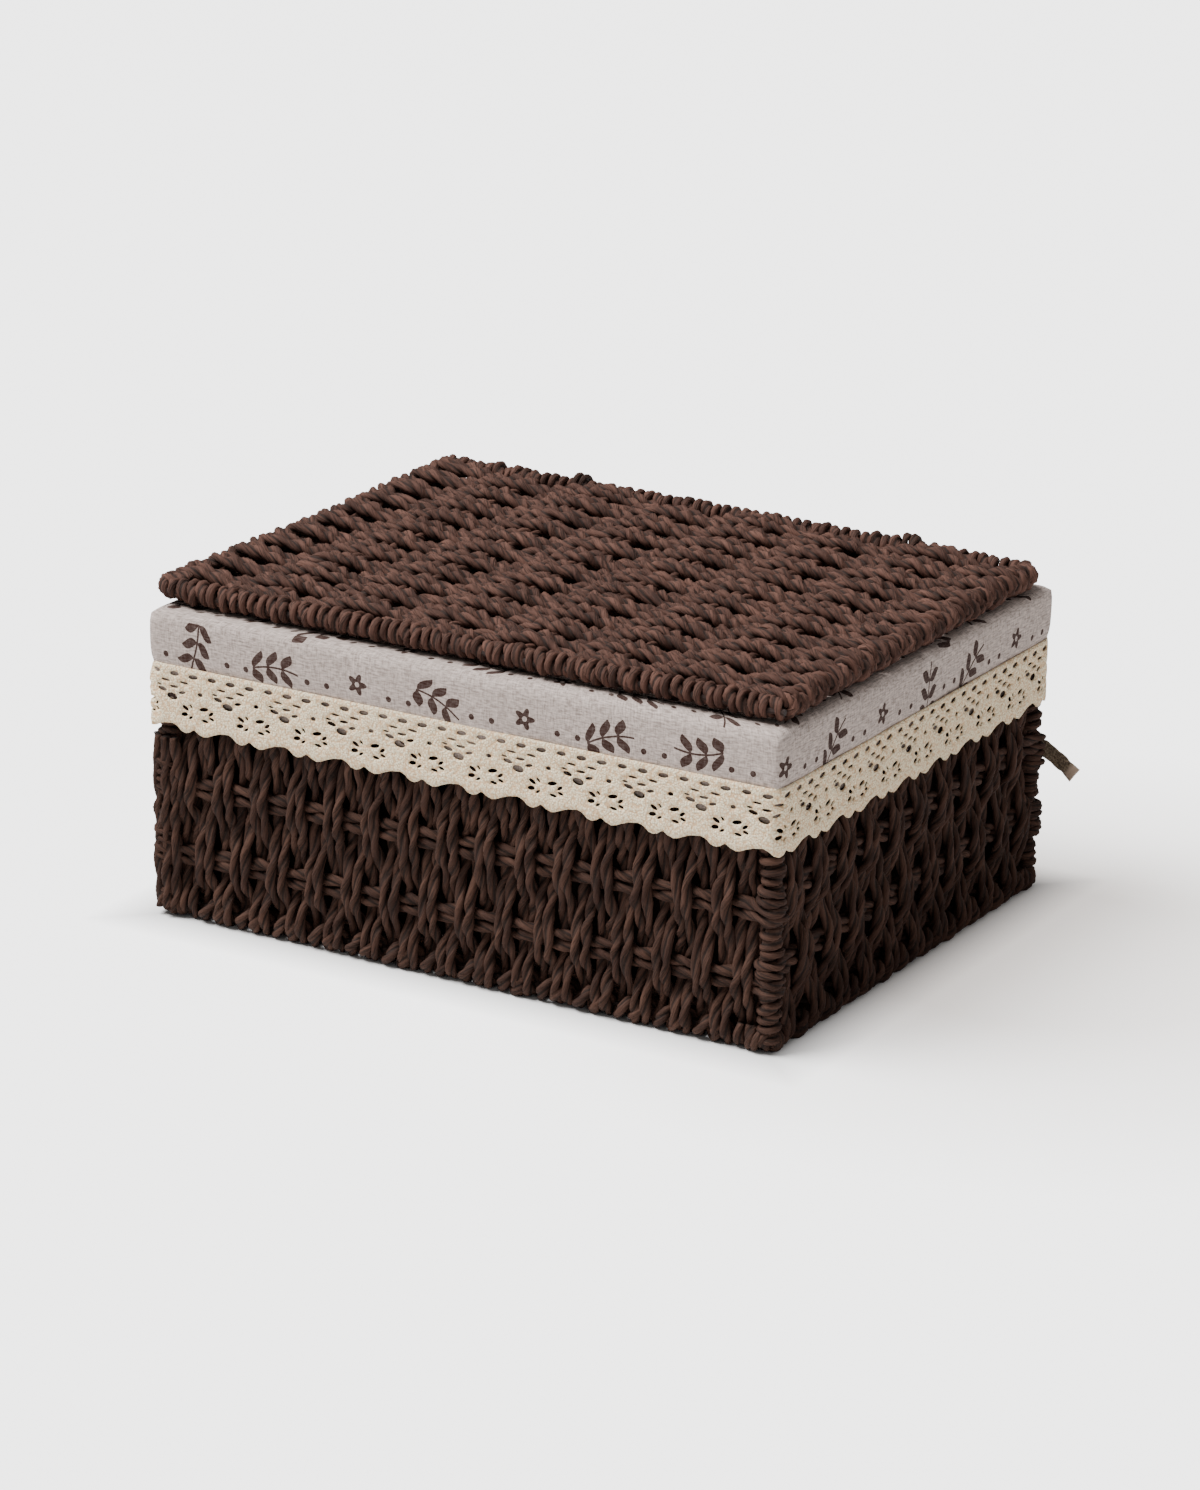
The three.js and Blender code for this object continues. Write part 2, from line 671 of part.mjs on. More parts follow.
// The tail of the tape that ties the liner to the wall: it comes out of the back wall
// near the right corner and hangs out past the corner post. Past the box's end, out from
// the back wall, and height:
const tapeRoute = [
  [-31, 0.75, 74.5], [-22, 0.9, 74.5], [-14, 2.6, 74.3], [-6, 3.4, 72.8],
  [2, 3.6, 69.8], [10, 3.4, 65.2], [17.5, 3, 59.8],
];

function ribbonTail(route) {
  const rings = route.map(([past, out, z], i) => {
    const before = route[Math.max(i - 1, 0)];
    const after = route[Math.min(i + 1, route.length - 1)];
    const along = new THREE.Vector2(after[0] - before[0], after[2] - before[2]).normalize();
    const middleY = boxWidth / 2 + out;
    return [[-1, -1], [1, -1], [1, 1], [-1, 1]].map(([w, t]) => [
      boxLength / 2 + past - along.y * w * ribbonWidth / 2,
      middleY + t * ribbonThickness / 2,
      z + along.x * w * ribbonWidth / 2,
    ]);
  });
  return loft(rings);
}
addPiece('liner_tape_tail', ribbonTail(tapeRoute), tape);

console.log(`least gap between turns of a winding: ${leastTurnGap.toFixed(2)} mm`);

export default model;
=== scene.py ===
"""Looks of the paper rope storage box: woven ropes, linen liner, crocheted lace and tape.

Metres, Z up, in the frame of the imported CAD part. Each panel is woven in its own
coordinates: along (across the ropes), out (away from the panel) and rise (with the ropes).
"""

import math

import bpy
import numpy as np
from mathutils import Matrix, Vector
from mathutils.geometry import delaunay_2d_cdt

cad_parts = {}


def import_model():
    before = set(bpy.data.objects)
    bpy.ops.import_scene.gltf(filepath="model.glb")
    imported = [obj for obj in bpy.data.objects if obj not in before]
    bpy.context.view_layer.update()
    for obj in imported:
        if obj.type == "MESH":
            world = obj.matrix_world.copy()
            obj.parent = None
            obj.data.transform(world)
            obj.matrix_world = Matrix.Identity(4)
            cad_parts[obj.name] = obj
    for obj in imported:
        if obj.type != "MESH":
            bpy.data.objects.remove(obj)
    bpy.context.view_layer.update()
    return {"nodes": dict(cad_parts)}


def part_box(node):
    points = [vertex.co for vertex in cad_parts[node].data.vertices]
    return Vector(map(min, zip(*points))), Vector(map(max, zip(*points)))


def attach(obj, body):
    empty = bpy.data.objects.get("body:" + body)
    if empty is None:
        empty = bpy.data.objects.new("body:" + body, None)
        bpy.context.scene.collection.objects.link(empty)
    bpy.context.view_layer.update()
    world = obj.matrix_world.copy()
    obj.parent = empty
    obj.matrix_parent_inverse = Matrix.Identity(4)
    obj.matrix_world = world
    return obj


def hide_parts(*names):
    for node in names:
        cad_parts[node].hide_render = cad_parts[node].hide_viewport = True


MM = 0.001

# Wires of the box and the lid, in millimetres, as in the CAD part
POST_X, POST_Y = 163.29, 128.29
BOTTOM_ROD, TOP_ROD = 6.1, 147.9
LID_MIDDLE, LID_ROD_X, LID_ROD_Y = 163.0, 162.3, 126.406

# Weave, fitted to the photograph: stake rows, then number and spacing of the working pairs
LONG_WALL_ROWS, LONG_WALL_PAIRS, LONG_WALL_PITCH = (32.5, 67.5, 103.0), 30, 10.6
END_WALL_ROWS, END_WALL_PAIRS, END_WALL_PITCH = (41.0, 76.0, 111.0), 20, 12.35
LONG_HALF_PAIR, END_HALF_PAIR, LID_HALF_PAIR = 2.7, 2.95, 2.75  # a pair's two ropes from its place
LID_STAKES = tuple(46.37 * i - LID_ROD_X for i in range(1, 7))
LID_PAIRS, LID_PITCH = 22, 11.13
LID_LIFT, LID_REACH = 2.3, 3.6  # the lid's warp: its back left corner up, its front left one out
OUT_X, OUT_Y = 3.0, 1.8  # the woven walls stand out past their wires below the lace
OUT_FULL, OUT_NONE = 92.0, 106.0  # heights where they stand out fully and no more

# Paper rope
ROPE_RADIUS, LID_ROPE_RADIUS = 2.85, 3.45
STAKE_RADIUS, HOOK_RADIUS = 3.0, 2.4
WALL_LAY, LID_LAY = 30.0, 20.0  # one full twist of the two plies
PLY_SHARE, PLY_APART = 0.61, 0.39  # a ply's radius and distance from the middle, of the rope's
SECTION_POINTS = 16
FINE_STEP, COARSE_STEP, BACK_STEP = 1.9, 3.0, 2.55
SLOW_SWING, QUICK_SWING = 1.2, 0.5  # how far the twist runs ahead or behind, in radians
SLOW_SWELL, QUICK_SWELL = 0.10, 0.06  # how much a rope swells and thins
PLY_SWELL = 0.16  # how much thicker one ply is than the other
ANY_TURN, ANY_START = 6.28, 5000.0  # ranges that a rope's twist and place are drawn from
ROD_TURN = 3.75  # rope's middle from the middle of the wire it turns round
OVER_OUT, UNDER_OUT = 4.3, 3.0  # rope's middle from the panel's middle, outside and inside
HIDDEN_OVER = 2.9  # the same behind the lace, where the ropes are pressed flat
ROW_REACH, SHOULDER = 8.0, 0.84  # a pair keeps most of its way out so far from the row
STAKE_HALF = 2.65  # each of a stake's two ropes from the row
FOOT_LEVEL = 0.1  # the loops under the box are pressed flat on the floor


# Paths


def run_along(line):
    """Distance along a line at each of its points."""
    return np.concatenate([[0], np.cumsum(np.linalg.norm(np.diff(line, axis=0), axis=1))])


def smooth_path(points, step):
    """Evenly spaced points on a Catmull-Rom curve through the given ones."""
    p = np.asarray(points, float)
    ends = np.vstack([2 * p[0] - p[1], p, 2 * p[-1] - p[-2]])
    t = np.linspace(0, 1, 10, endpoint=False)[:, None, None]
    a, b, c, d = ends[:-3], ends[1:-2], ends[2:-1], ends[3:]
    dense = 0.5 * (2 * b + (c - a) * t + (2 * a - 5 * b + 4 * c - d) * t**2
                   + (3 * b - a - 3 * c + d) * t**3)
    dense = dense.transpose(1, 0, 2).reshape(-1, 3)
    return even_path(np.vstack([dense, p[-1]]), step)


def even_path(points, step):
    """The same line with its points one step apart."""
    run = run_along(points)
    count = max(3, int(round(run[-1] / step)) + 1)
    at = np.linspace(0, run[-1], count)
    return np.column_stack([np.interp(at, run, points[:, i]) for i in range(3)])


def slow_noise(rng, count, spacing):
    """Smooth noise along a rope, one knot every `spacing` points, about -1 to 1."""
    knots = rng.uniform(-1, 1, count // spacing + 3)
    at = np.arange(count) / spacing
    low = at.astype(int)
    part = at - low
    part = part * part * (3 - 2 * part)
    return knots[low] * (1 - part) + knots[low + 1] * part


# Rope tubes


def two_ply_section():
    """Angles and radii, as shares of the rope's radius, of two plies side by side."""
    angle = np.arange(SECTION_POINTS) * math.tau / SECTION_POINTS
    edge = np.sqrt(PLY_SHARE**2 - (PLY_APART * np.sin(angle)) ** 2)
    return angle, PLY_APART * np.abs(np.cos(angle)) + edge


def carried_frames(path):
    """Two directions across the path at each point, carried along without twisting."""
    tangent = np.gradient(path, axis=0)
    tangent /= np.linalg.norm(tangent, axis=1)[:, None]
    start = np.eye(3)[np.argmin(np.abs(tangent[0]))]
    across = np.empty_like(tangent)
    last = start
    for i, t in enumerate(tangent):
        last = last - t * (last @ t)
        last /= math.sqrt(last @ last)
        across[i] = last
    return across, np.cross(tangent, across)


def rope_tube(path, radius, rng, lay):
    """Vertices, quads and rope coordinates of one two-ply rope along the path, in mm.

    The twist tightens and slackens, and either ply may be the thicker one for a stretch.
    """
    angle, share = two_ply_section()
    count = len(path)
    step = np.linalg.norm(path[1] - path[0])
    run = np.arange(count) * step
    one, two = carried_frames(path)
    turn = math.tau * run / lay + rng.uniform(0, ANY_TURN)
    turn += SLOW_SWING * slow_noise(rng, count, 12) + QUICK_SWING * slow_noise(rng, count, 5)
    swell = SLOW_SWELL * slow_noise(rng, count, 5)
    fat = radius * (1 + swell + QUICK_SWELL * slow_noise(rng, count, 2))
    phi = angle[None, :] + turn[:, None]
    uneven = 1 + PLY_SWELL * np.outer(slow_noise(rng, count, 7), np.cos(angle))
    size = fat[:, None] * share[None, :] * uneven
    ring = (path[:, None, :] + (size * np.cos(phi))[:, :, None] * one[:, None, :]
            + (size * np.sin(phi))[:, :, None] * two[:, None, :])
    place = np.empty((count, SECTION_POINTS, 3))
    place[:, :, 0] = run[:, None] + rng.uniform(0, ANY_START)
    place[:, :, 1] = ROPE_RADIUS * share * np.cos(angle)
    place[:, :, 2] = ROPE_RADIUS * share * np.sin(angle)
    index = np.arange(count * SECTION_POINTS).reshape(count, SECTION_POINTS)
    nxt = np.roll(index, -1, axis=1)
    quads = np.stack([index[:-1], nxt[:-1], nxt[1:], index[1:]], axis=-1).reshape(-1, 4)
    cap = np.array([(i, i + 1, -2 - i, -1 - i) for i in range(SECTION_POINTS // 2 - 1)])
    quads = np.vstack([quads, index[0][cap][:, ::-1], index[-1][cap]])
    return ring.reshape(-1, 3), quads, place.reshape(-1, 3)


def mesh_object(name, vertices, faces, place, attribute):
    """A smooth-shaded mesh piece from arrays in millimetres, with its material's coordinates."""
    mesh = bpy.data.meshes.new(name)
    mesh.from_pydata(vertices * MM, [], faces, shade_flat=False)
    mesh.validate()
    layer = mesh.attributes.new(attribute, "FLOAT_VECTOR", "POINT")
    layer.data.foreach_set("vector", (place * MM).astype(np.float32).ravel())
    piece = bpy.data.objects.new(name, mesh)
    bpy.context.scene.collection.objects.link(piece)
    return piece


def dress(piece, body, nodes, material):
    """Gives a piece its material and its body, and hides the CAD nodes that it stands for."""
    piece.data.materials.append(material)
    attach(piece, body)
    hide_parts(*nodes)


def rope_piece(name, ropes, body, nodes, mats, seed):
    """One piece of several ropes, each (path, radius). It stands for the CAD nodes."""
    rng = np.random.default_rng(seed)
    slot, lay = ("lid_rope", LID_LAY) if body == "lid" else ("rope", WALL_LAY)
    vertices, quads, places, base = [], [], [], 0
    for path, radius in ropes:
        v, q, p = rope_tube(path, radius, rng, lay)
        v[:, 2] = np.maximum(v[:, 2], FOOT_LEVEL)
        vertices.append(v)
        quads.append(q + base)
        places.append(p)
        base += len(v)
    piece = mesh_object(name, np.vstack(vertices), np.vstack(quads), np.vstack(places),
                        "rope_place")
    dress(piece, body, nodes, mats[slot])


# Weaving


def pair_side(pair, row):
    """1 where a pair passes outside that row, -1 where it passes inside. Row -1 is the low wire."""
    return 1 if (pair + row) % 2 else -1


def rod_turn(start, end, offset, rod, side, up, wraps, reach):
    """Points (along, out, rise) of a rope round an end wire, from one pair's place to the next.

    With `wraps` it goes once more round the wire, as a wide slanted loop. The points are
    chosen to lie as the photographed loops do.
    """
    away = -1 if up else 1
    span = end - start
    points = [(start + offset, side * reach, rod + away * 7)]
    if wraps:
        loop = start + 0.41 * span + 1.5 * offset
        points += [(start + offset, side * reach, rod + away * 1.0),
                   (loop - 3.4, 0, rod - away * reach),
                   (loop, -side * 1.1 * reach, rod),
                   (loop + 3.2, -side * 0.15 * reach, rod + away * 1.1 * reach),
                   (loop + 4.6, side * reach, rod),
                   (end - 0.9 + offset, 0, rod - away * reach),
                   (end - 0.3 + offset, -side * reach, rod + away * 0.5)]
    else:
        points += [(start + 0.15 * span + offset, side * reach, rod + away * 1.0),
                   (start + 0.5 * span + offset, 0, rod - away * reach),
                   (start + 0.85 * span + offset, -side * reach, rod + away * 1.0)]
    points += [(end + offset, -side * reach, rod + away * 8.5)]
    return points


# How unevenly the working ropes lie, in millimetres: along and out at a row, between rows
LEAN, SWAY, OUT_SWAY, GAP_SWAY, GAP_RISE = 0.45, 0.4, 0.2, 0.7, 2


def woven_rope(places, rows, rods, offset, rng, loose, wraps, reach=ROD_TURN, spread=1.0,
               over=None):
    """One unbroken rope of the working pairs, as points (along, out, rise).

    `rods` are the heights of the two end wires, `wraps` says at which of them the rope goes
    round once more, `spread` parts a pair where it passes outside and `over` is how far out
    it passes at each row.
    """
    over = over or [OVER_OUT] * len(rows)
    low, high = rods
    points = []
    for pair, place in enumerate(places):
        up = pair % 2 == 0
        passes = []
        for row, rise in enumerate(rows):
            side = pair_side(pair, row)
            lean = rng.normal(0, LEAN * loose, 2)
            here = place + offset * (spread if side > 0 else 1.0) + rng.normal(0, SWAY * loose)
            out = (over[row] if side > 0 else -UNDER_OUT) + rng.normal(0, OUT_SWAY * loose)
            passes += [(here + lean[0], SHOULDER * out, rise - ROW_REACH), (here, out, rise),
                       (here + lean[1], SHOULDER * out, rise + ROW_REACH)]
            if row + 1 < len(rows):
                middle = (rise + rows[row + 1]) / 2
                shift = rng.normal(0, GAP_SWAY * loose)
                passes.append((place + offset + shift, 0, middle + rng.normal(0, GAP_RISE * loose)))
        if pair == 0:
            points.append((place + offset, 0, low - reach))
            points.append((place + offset, 0.8 * reach * pair_side(0, -1), low + 3))
        points += passes if up else passes[::-1]
        if pair + 1 < len(places):
            rod, row = (high, len(rows)) if up else (low, -1)
            points += rod_turn(place, places[pair + 1], offset, rod, pair_side(pair, row), up,
                               wraps[up], reach)
        elif not up:
            side = pair_side(pair, -1)
            points += [(place + offset, 0.8 * reach * side, low + 3),
                       (place + offset + 0.8, 0, low - reach),
                       (place + offset + 1.6, -side * reach, low + 0.5),
                       (place + offset + 2.2, -side * 0.6 * reach, low + 6)]
    return points


def centred(count, pitch):
    """Evenly spaced places about the middle."""
    return [(i - (count - 1) / 2) * pitch for i in range(count)]


def wall_plan(name):
    """The stake rows and the places of the pairs of a wall, and whether it is a long one."""
    if name in ("front", "back"):
        return LONG_WALL_ROWS, centred(LONG_WALL_PAIRS, LONG_WALL_PITCH), True
    return END_WALL_ROWS, centred(END_WALL_PAIRS, END_WALL_PITCH), False


def stake_rope(row, places, row_number, level, rng):
    """One of a stake's two ropes, pushed out between the pairs that cross before it."""
    points = []
    for pair, place in enumerate(places):
        side = pair_side(pair, row_number)
        points.append((place, 0.3 - 0.9 * side, row + level + rng.normal(0, 0.2) - 0.3 * side))
    return points


def cut_stake(row, places, row_number, level, half, rng):
    """The same with a cut end at both ends, `half` from the middle."""
    rise = row + 0.75 * level
    middle = stake_rope(row, places, row_number, level, rng)
    return [(-half, 0, rise)] + middle + [(half, 0, rise)]


def post_at(rise):
    """Half lengths between the posts: the walls stand out below the lace, not behind it."""
    share = np.clip((OUT_NONE - rise) / (OUT_NONE - OUT_FULL), 0, 1)
    return POST_X + OUT_X * share, POST_Y + OUT_Y * share


# Each wall seen from outside: (along, out, rise) to the box's frame
WALLS = {
    "front": lambda p: np.column_stack([p[:, 0], -post_at(p[:, 2])[1] - p[:, 1], p[:, 2]]),
    "right": lambda p: np.column_stack([post_at(p[:, 2])[0] + p[:, 1], p[:, 0], p[:, 2]]),
    "back": lambda p: np.column_stack([-p[:, 0], post_at(p[:, 2])[1] + p[:, 1], p[:, 2]]),
    "left": lambda p: np.column_stack([-post_at(p[:, 2])[0] - p[:, 1], -p[:, 0], p[:, 2]]),
}


HOOK_REACH, HIDDEN_HOOK_REACH = 5.4, 4.9  # a hook from the post's middle, also behind the lace
# Hidden upright ropes that close each wall's ends: past the last pair, out
EDGE_ROPES, EDGE_TOP = ((1.6, -6.2), (5.0, -4.4), (8.6, -2.6)), 140
# The walls whose last pairs cover the front left post, as the photograph shows, and at which end
BARE_CORNER = {"front": -1, "left": 1}
# The ropes over that post: past its middle, out
BARE_ROPES, BARE_TOP = ((-6.6, 4.4), (-1.9, 4.9), (3.0, 4.0)), 92


def hook_points(half, row, level, end):
    """The end of a stake's rope, bent round the post at that end of the wall."""
    points = []
    reach = HOOK_REACH if row < OUT_FULL else HIDDEN_HOOK_REACH
    for angle in np.radians((20, 65, 110, 155, 200, 240)):
        points.append((end * (half + reach * math.sin(angle)), reach * math.cos(angle),
                       row + 0.8 * level + 0.25 * math.sin(angle)))
    return points


def edge_ropes(name, rng, step):
    """Upright ropes at a wall's two ends, and over the front left post."""
    places, long_wall = wall_plan(name)[1:]
    edges = [(end * (places[-1] + past), out, EDGE_TOP) for end in (-1, 1)
             for past, out in EDGE_ROPES]
    if name in BARE_CORNER:
        half = post_at(0)[not long_wall]
        edges += [(BARE_CORNER[name] * (half + past), out, BARE_TOP) for past, out in BARE_ROPES]
    ropes = []
    for along, out, top in edges:
        rise = np.linspace(4, top, 12)
        line = np.column_stack([along + rng.normal(0, 0.4, 12), out + rng.normal(0, 0.3, 12),
                                rise])
        ropes.append((WALLS[name](smooth_path(line, step)), ROPE_RADIUS))
    return ropes


def weave_wall(name, mats, seed):
    """The ropes of one wall: two working ropes side by side and three rows of stakes."""
    rng = np.random.default_rng(seed)
    rows, places, long_wall = wall_plan(name)
    step = FINE_STEP if name in ("front", "right") else BACK_STEP
    to_box = WALLS[name]
    half_pair = LONG_HALF_PAIR if long_wall else END_HALF_PAIR
    over = (OVER_OUT, OVER_OUT, HIDDEN_OVER + 0.8 * long_wall)
    for side, offset in (("a", -half_pair), ("b", half_pair)):
        line = smooth_path(woven_rope(places, rows, (BOTTOM_ROD, TOP_ROD), offset, rng, 1.0,
                                      (True, False), over=over), step)
        rope_piece(f"wall_rope_{name}_{side}", [(to_box(line), thick_inside(line))], "box",
                   [f"wall_weave_{name}"], mats, seed + ord(side))
    ropes = edge_ropes(name, rng, step)
    for number, row in enumerate(rows):
        half = post_at(row)[not long_wall]
        for level in (-STAKE_HALF, STAKE_HALF):
            middle = stake_rope(row, places, number, level, rng)
            left = hook_points(half, row, level, -1)[::-1]
            right = hook_points(half, row, level, 1)
            line = smooth_path(left + middle + right, step)
            hooked = np.clip((np.abs(line[:, 0]) - half + 8) / 5, 0, 1)
            ropes.append((to_box(line), STAKE_RADIUS + (HOOK_RADIUS - STAKE_RADIUS) * hooked))
    rope_piece(f"stake_ropes_{name}", ropes, "box", [f"stake_{name}_{i}" for i in (1, 2, 3)],
               mats, seed + 7)


INSIDE_SPREAD, TURN_SPREAD = 0.14, 0.10


def thick_inside(line):
    """A working rope's radius: it spreads inside the row and round the bottom wire."""
    inside = np.clip(-line[:, 1] / UNDER_OUT, 0, 1)
    turning = np.clip((BOTTOM_ROD + 5 - line[:, 2]) / 6, 0, 1)
    return ROPE_RADIUS * (1 + INSIDE_SPREAD * inside + TURN_SPREAD * turning)


WINDING_STEP, WOUND_STEP = 0.45, 1.7  # along the middle line, then along the wound rope
WOUND_REACH = 3.3  # the wound rope's middle from the wire's
POST_PITCH, RIM_PITCH, CORNER_TURNS = 5.1, 5.6, 2.5
POST_FOOT, POST_TOP, POST_POINTS = 2.9, 141.0, 24
POST_SWAY = 0.4


def wound_round(middle, pitch, radius, rng, loose):
    """The path of a rope wound round a middle line, its turns a little uneven."""
    line = even_path(np.asarray(middle, float), WINDING_STEP)
    run = run_along(line)
    turn = pitch / WINDING_STEP
    one, two = carried_frames(line)
    angle = math.tau * round(run[-1] / pitch) * run / run[-1]
    angle += 0.35 * loose * slow_noise(rng, len(run), int(1.7 * turn))
    reach = radius * (1 + 0.08 * loose * slow_noise(rng, len(run), int(1.3 * turn)))
    line = line + (reach * np.cos(angle))[:, None] * one + (reach * np.sin(angle))[:, None] * two
    return even_path(line, WOUND_STEP)


# Where rope ends run up inside each corner, inwards from the post along x and y
CORNER_ENDS = ((7.0, 7.0), (12.0, 5.8), (17.5, 5.8), (5.8, 12.0), (5.8, 17.5))


def weave_posts(mats):
    """The rope wound round each corner wire, over rope ends that run up along it and inside."""
    for number, (name, sx, sy) in enumerate((("front_left", -1, -1), ("front_right", 1, -1),
                                             ("back_left", -1, 1), ("back_right", 1, 1))):
        rng = np.random.default_rng(40 + number)
        rise = np.linspace(POST_FOOT, POST_TOP, POST_POINTS)
        sway_x, sway_y = (POST_SWAY * slow_noise(rng, POST_POINTS, 3) for _ in range(2))
        x, y = post_at(rise)
        middle = np.column_stack([sx * x + sway_x, sy * y + sway_y, rise])
        line = wound_round(middle, POST_PITCH, WOUND_REACH, rng, 1.6)
        ropes = [(line, 2.95), (smooth_path(middle, 3), 3.6)]
        for inward_x, inward_y in CORNER_ENDS:
            ends = np.column_stack([sx * (x - inward_x), sy * (y - inward_y), rise + 9])
            ropes.append((smooth_path(ends[:-2], 4), 3.3))
        rope_piece(f"post_rope_{name}", ropes, "box", [f"post_wrap_{name}"], mats, 50 + number)


def wind_bottom_corners(mats):
    """Close turns round the bottom wire between each wall's last pair and the corner post."""
    ropes = []
    rng = np.random.default_rng(58)
    angle = np.linspace(0, math.tau * CORNER_TURNS, 28)
    for name, to_box in WALLS.items():
        places, long_wall = wall_plan(name)[1:]
        half = post_at(0)[not long_wall]
        for end in (-1, 1):
            along = end * np.linspace(places[-1] + 4.0, half + 0.5, len(angle))
            line = np.column_stack([along, 0.5 + 3.7 * np.sin(angle),
                                    BOTTOM_ROD - 3.3 * np.cos(angle)])
            line += rng.normal(0, 0.12, line.shape)
            ropes.append((to_box(smooth_path(line, 1.8)), 2.85))
    rope_piece("bottom_corner_ropes", ropes, "box", ["bottom_weave"], mats, 59)


BOTTOM_PITCH = 11.4
BOTTOM_EDGE = 4.2  # the bottom's outer rope from its CAD solid's side
BOTTOM_ROPE, BOTTOM_STAKE = (0.8, 2.3), (0.6, 2.0)  # flatness of its path, radius
# Closed ropes inside the foot of the walls, against light from below: inwards, height
FOOT_ROPES = ((4.4, 3.4), (6.8, 8.8), (7.2, 14.4))


def weave_bottom(mats):
    """The woven bottom, which shows only from below."""
    rng = np.random.default_rng(60)
    low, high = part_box("bottom_weave")
    half_x, half_y = high.x / MM - BOTTOM_EDGE + OUT_X, high.y / MM - BOTTOM_EDGE + OUT_Y
    middle = (low.z + high.z) / 2 / MM
    places = centred(int(2 * half_y / BOTTOM_PITCH) // 2 * 2, BOTTOM_PITCH)
    rows = [half_x * (-1 + 2 * i / 7) for i in range(1, 7)]
    ropes = []

    def lay(points, flatness, radius):
        along, out, rise = smooth_path(points, COARSE_STEP).T
        ropes.append((np.column_stack([rise, along, middle - flatness * out]), radius))

    for offset in (-BOTTOM_PITCH / 4, BOTTOM_PITCH / 4):
        lay(woven_rope(places, rows, (-half_x + 4, half_x - 4), offset, rng, 0.5, (False, False),
                       3.3), *BOTTOM_ROPE)
    for row_number, row in enumerate(rows):
        for level in (-2.4, 2.4):
            lay(cut_stake(row, places, row_number, level, half_y, rng), *BOTTOM_STAKE)
    for inward, rise in FOOT_ROPES:
        x, y = (half - inward for half in post_at(0))
        corners = [(-x, -y, rise), (x, -y, rise), (x, y, rise), (-x, y, rise), (-x, -y, rise)]
        ropes.append((even_path(np.array(corners), COARSE_STEP), 3.0))
    nodes = ["bottom_weave", "bottom_wire"] + [f"bottom_stake_{i}" for i in range(1, 7)]
    rope_piece("bottom_ropes", ropes, "box", nodes, mats, 61)


def warped(points):
    """The lid's back edge stands up, most at the left, and its front left corner reaches out.

    The lift grows from 40 mm in front of the lid's middle, the reach from 60 mm left of it.
    """
    x, y, z = points.T
    lift = np.clip(0.5 - x / (2 * LID_ROD_X), 0, 1) ** 0.5 * np.clip((y + 40) / 166, 0, 1) ** 1.5
    reach = np.clip((-x - 60) / 102, 0, 1) * np.clip((20 - y) / 146, 0, 1)
    return np.column_stack([x - LID_REACH * reach, y, z + LID_LIFT * lift])


LID_LOOP = 14  # the loops begin this far inside the end wires
LEFT_LOOP, RIGHT_LOOP = 0.32, 0.1  # and are stretched outwards by these shares
LID_STAKE_END = 121
LID_FLATNESS, LID_STAKE_FLATNESS = 0.95, 0.9


def weave_lid(mats):
    """The lid: pairs along the long side, stakes across, loops round the two end wires."""
    rng = np.random.default_rng(70)
    places = centred(LID_PAIRS, LID_PITCH)
    for side, offset in (("a", -LID_HALF_PAIR), ("b", LID_HALF_PAIR)):
        points = woven_rope(places, LID_STAKES, (-LID_ROD_X, LID_ROD_X), offset, rng, 1.3,
                            (True, True), 4.1, 1.2)
        along, out, rise = smooth_path(points, FINE_STEP).T
        past_left = np.clip(LID_LOOP - LID_ROD_X - rise, 0, None)
        past_right = np.clip(rise - LID_ROD_X + LID_LOOP, 0, None)
        line = np.column_stack([rise - LEFT_LOOP * past_left + RIGHT_LOOP * past_right,
                                -along, LID_MIDDLE + LID_FLATNESS * out])
        rope_piece(f"lid_rope_{side}", [(warped(line), LID_ROPE_RADIUS)], "lid", ["lid_weave"],
                   mats, 71 + ord(side))
    ropes = []
    for number, row in enumerate(LID_STAKES):
        for level in (-STAKE_HALF, STAKE_HALF):
            points = cut_stake(row, places, number, level, LID_STAKE_END, rng)
            along, out, rise = smooth_path(points, FINE_STEP).T
            line = np.column_stack([rise, -along, LID_MIDDLE + LID_STAKE_FLATNESS * out])
            ropes.append((warped(line), STAKE_RADIUS))
    rope_piece("lid_stake_ropes", ropes, "lid", [f"lid_stake_{i}" for i in range(1, 7)], mats, 79)


RIM_BEND, RIM_END = 3.4, 1.6  # where the rim turns, before the corner, and its cut ends
NEAR_CORNER = 20
# The turn, from the corner: along the rim, inwards
RIM_TURN = ((0, 9), (0, RIM_BEND), (0.3 * RIM_BEND, 0.3 * RIM_BEND), (RIM_BEND, 0))
RIM_LEFT, RIM_RIGHT = LID_ROD_X + 6.0, LID_ROD_X + 2.0


def rim_line(start, end, y):
    """The middle line of a rim, turned round the lid's corner at each end that reaches one."""
    inward = -math.copysign(1, y)
    first, last = [(start + RIM_END, y)], [(end - RIM_END, y)]
    if start < NEAR_CORNER - LID_ROD_X:
        first = [(along - RIM_LEFT, y + inward * by) for along, by in RIM_TURN]
    if end > LID_ROD_X - NEAR_CORNER:
        last = [(RIM_RIGHT - along, y + inward * by) for along, by in RIM_TURN[::-1]]
    return [(x, at, LID_MIDDLE) for x, at in first + last]


def wind_lid_rims(mats):
    """The rope wound round the lid's front and back wires and round its corners."""
    spans = {"lid_rim_front": 2.4 - LID_ROD_Y}
    spans.update({f"lid_rim_back_{part}": LID_ROD_Y - 1 for part in ("left", "middle", "right")})
    for number, (node, y) in enumerate(spans.items()):
        rng = np.random.default_rng(80 + number)
        low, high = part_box(node)
        line = wound_round(rim_line(low.x / MM, high.x / MM, y), RIM_PITCH, WOUND_REACH, rng, 1.8)
        rope_piece(node.replace("lid_rim", "lid_rim_rope"), [(warped(line), 3.2)], "lid", [node],
                   mats, 90 + number)


TIE_HUMP = 3.2  # the ties stand up over the lid's back edge
TIE_PITCH = 4.2


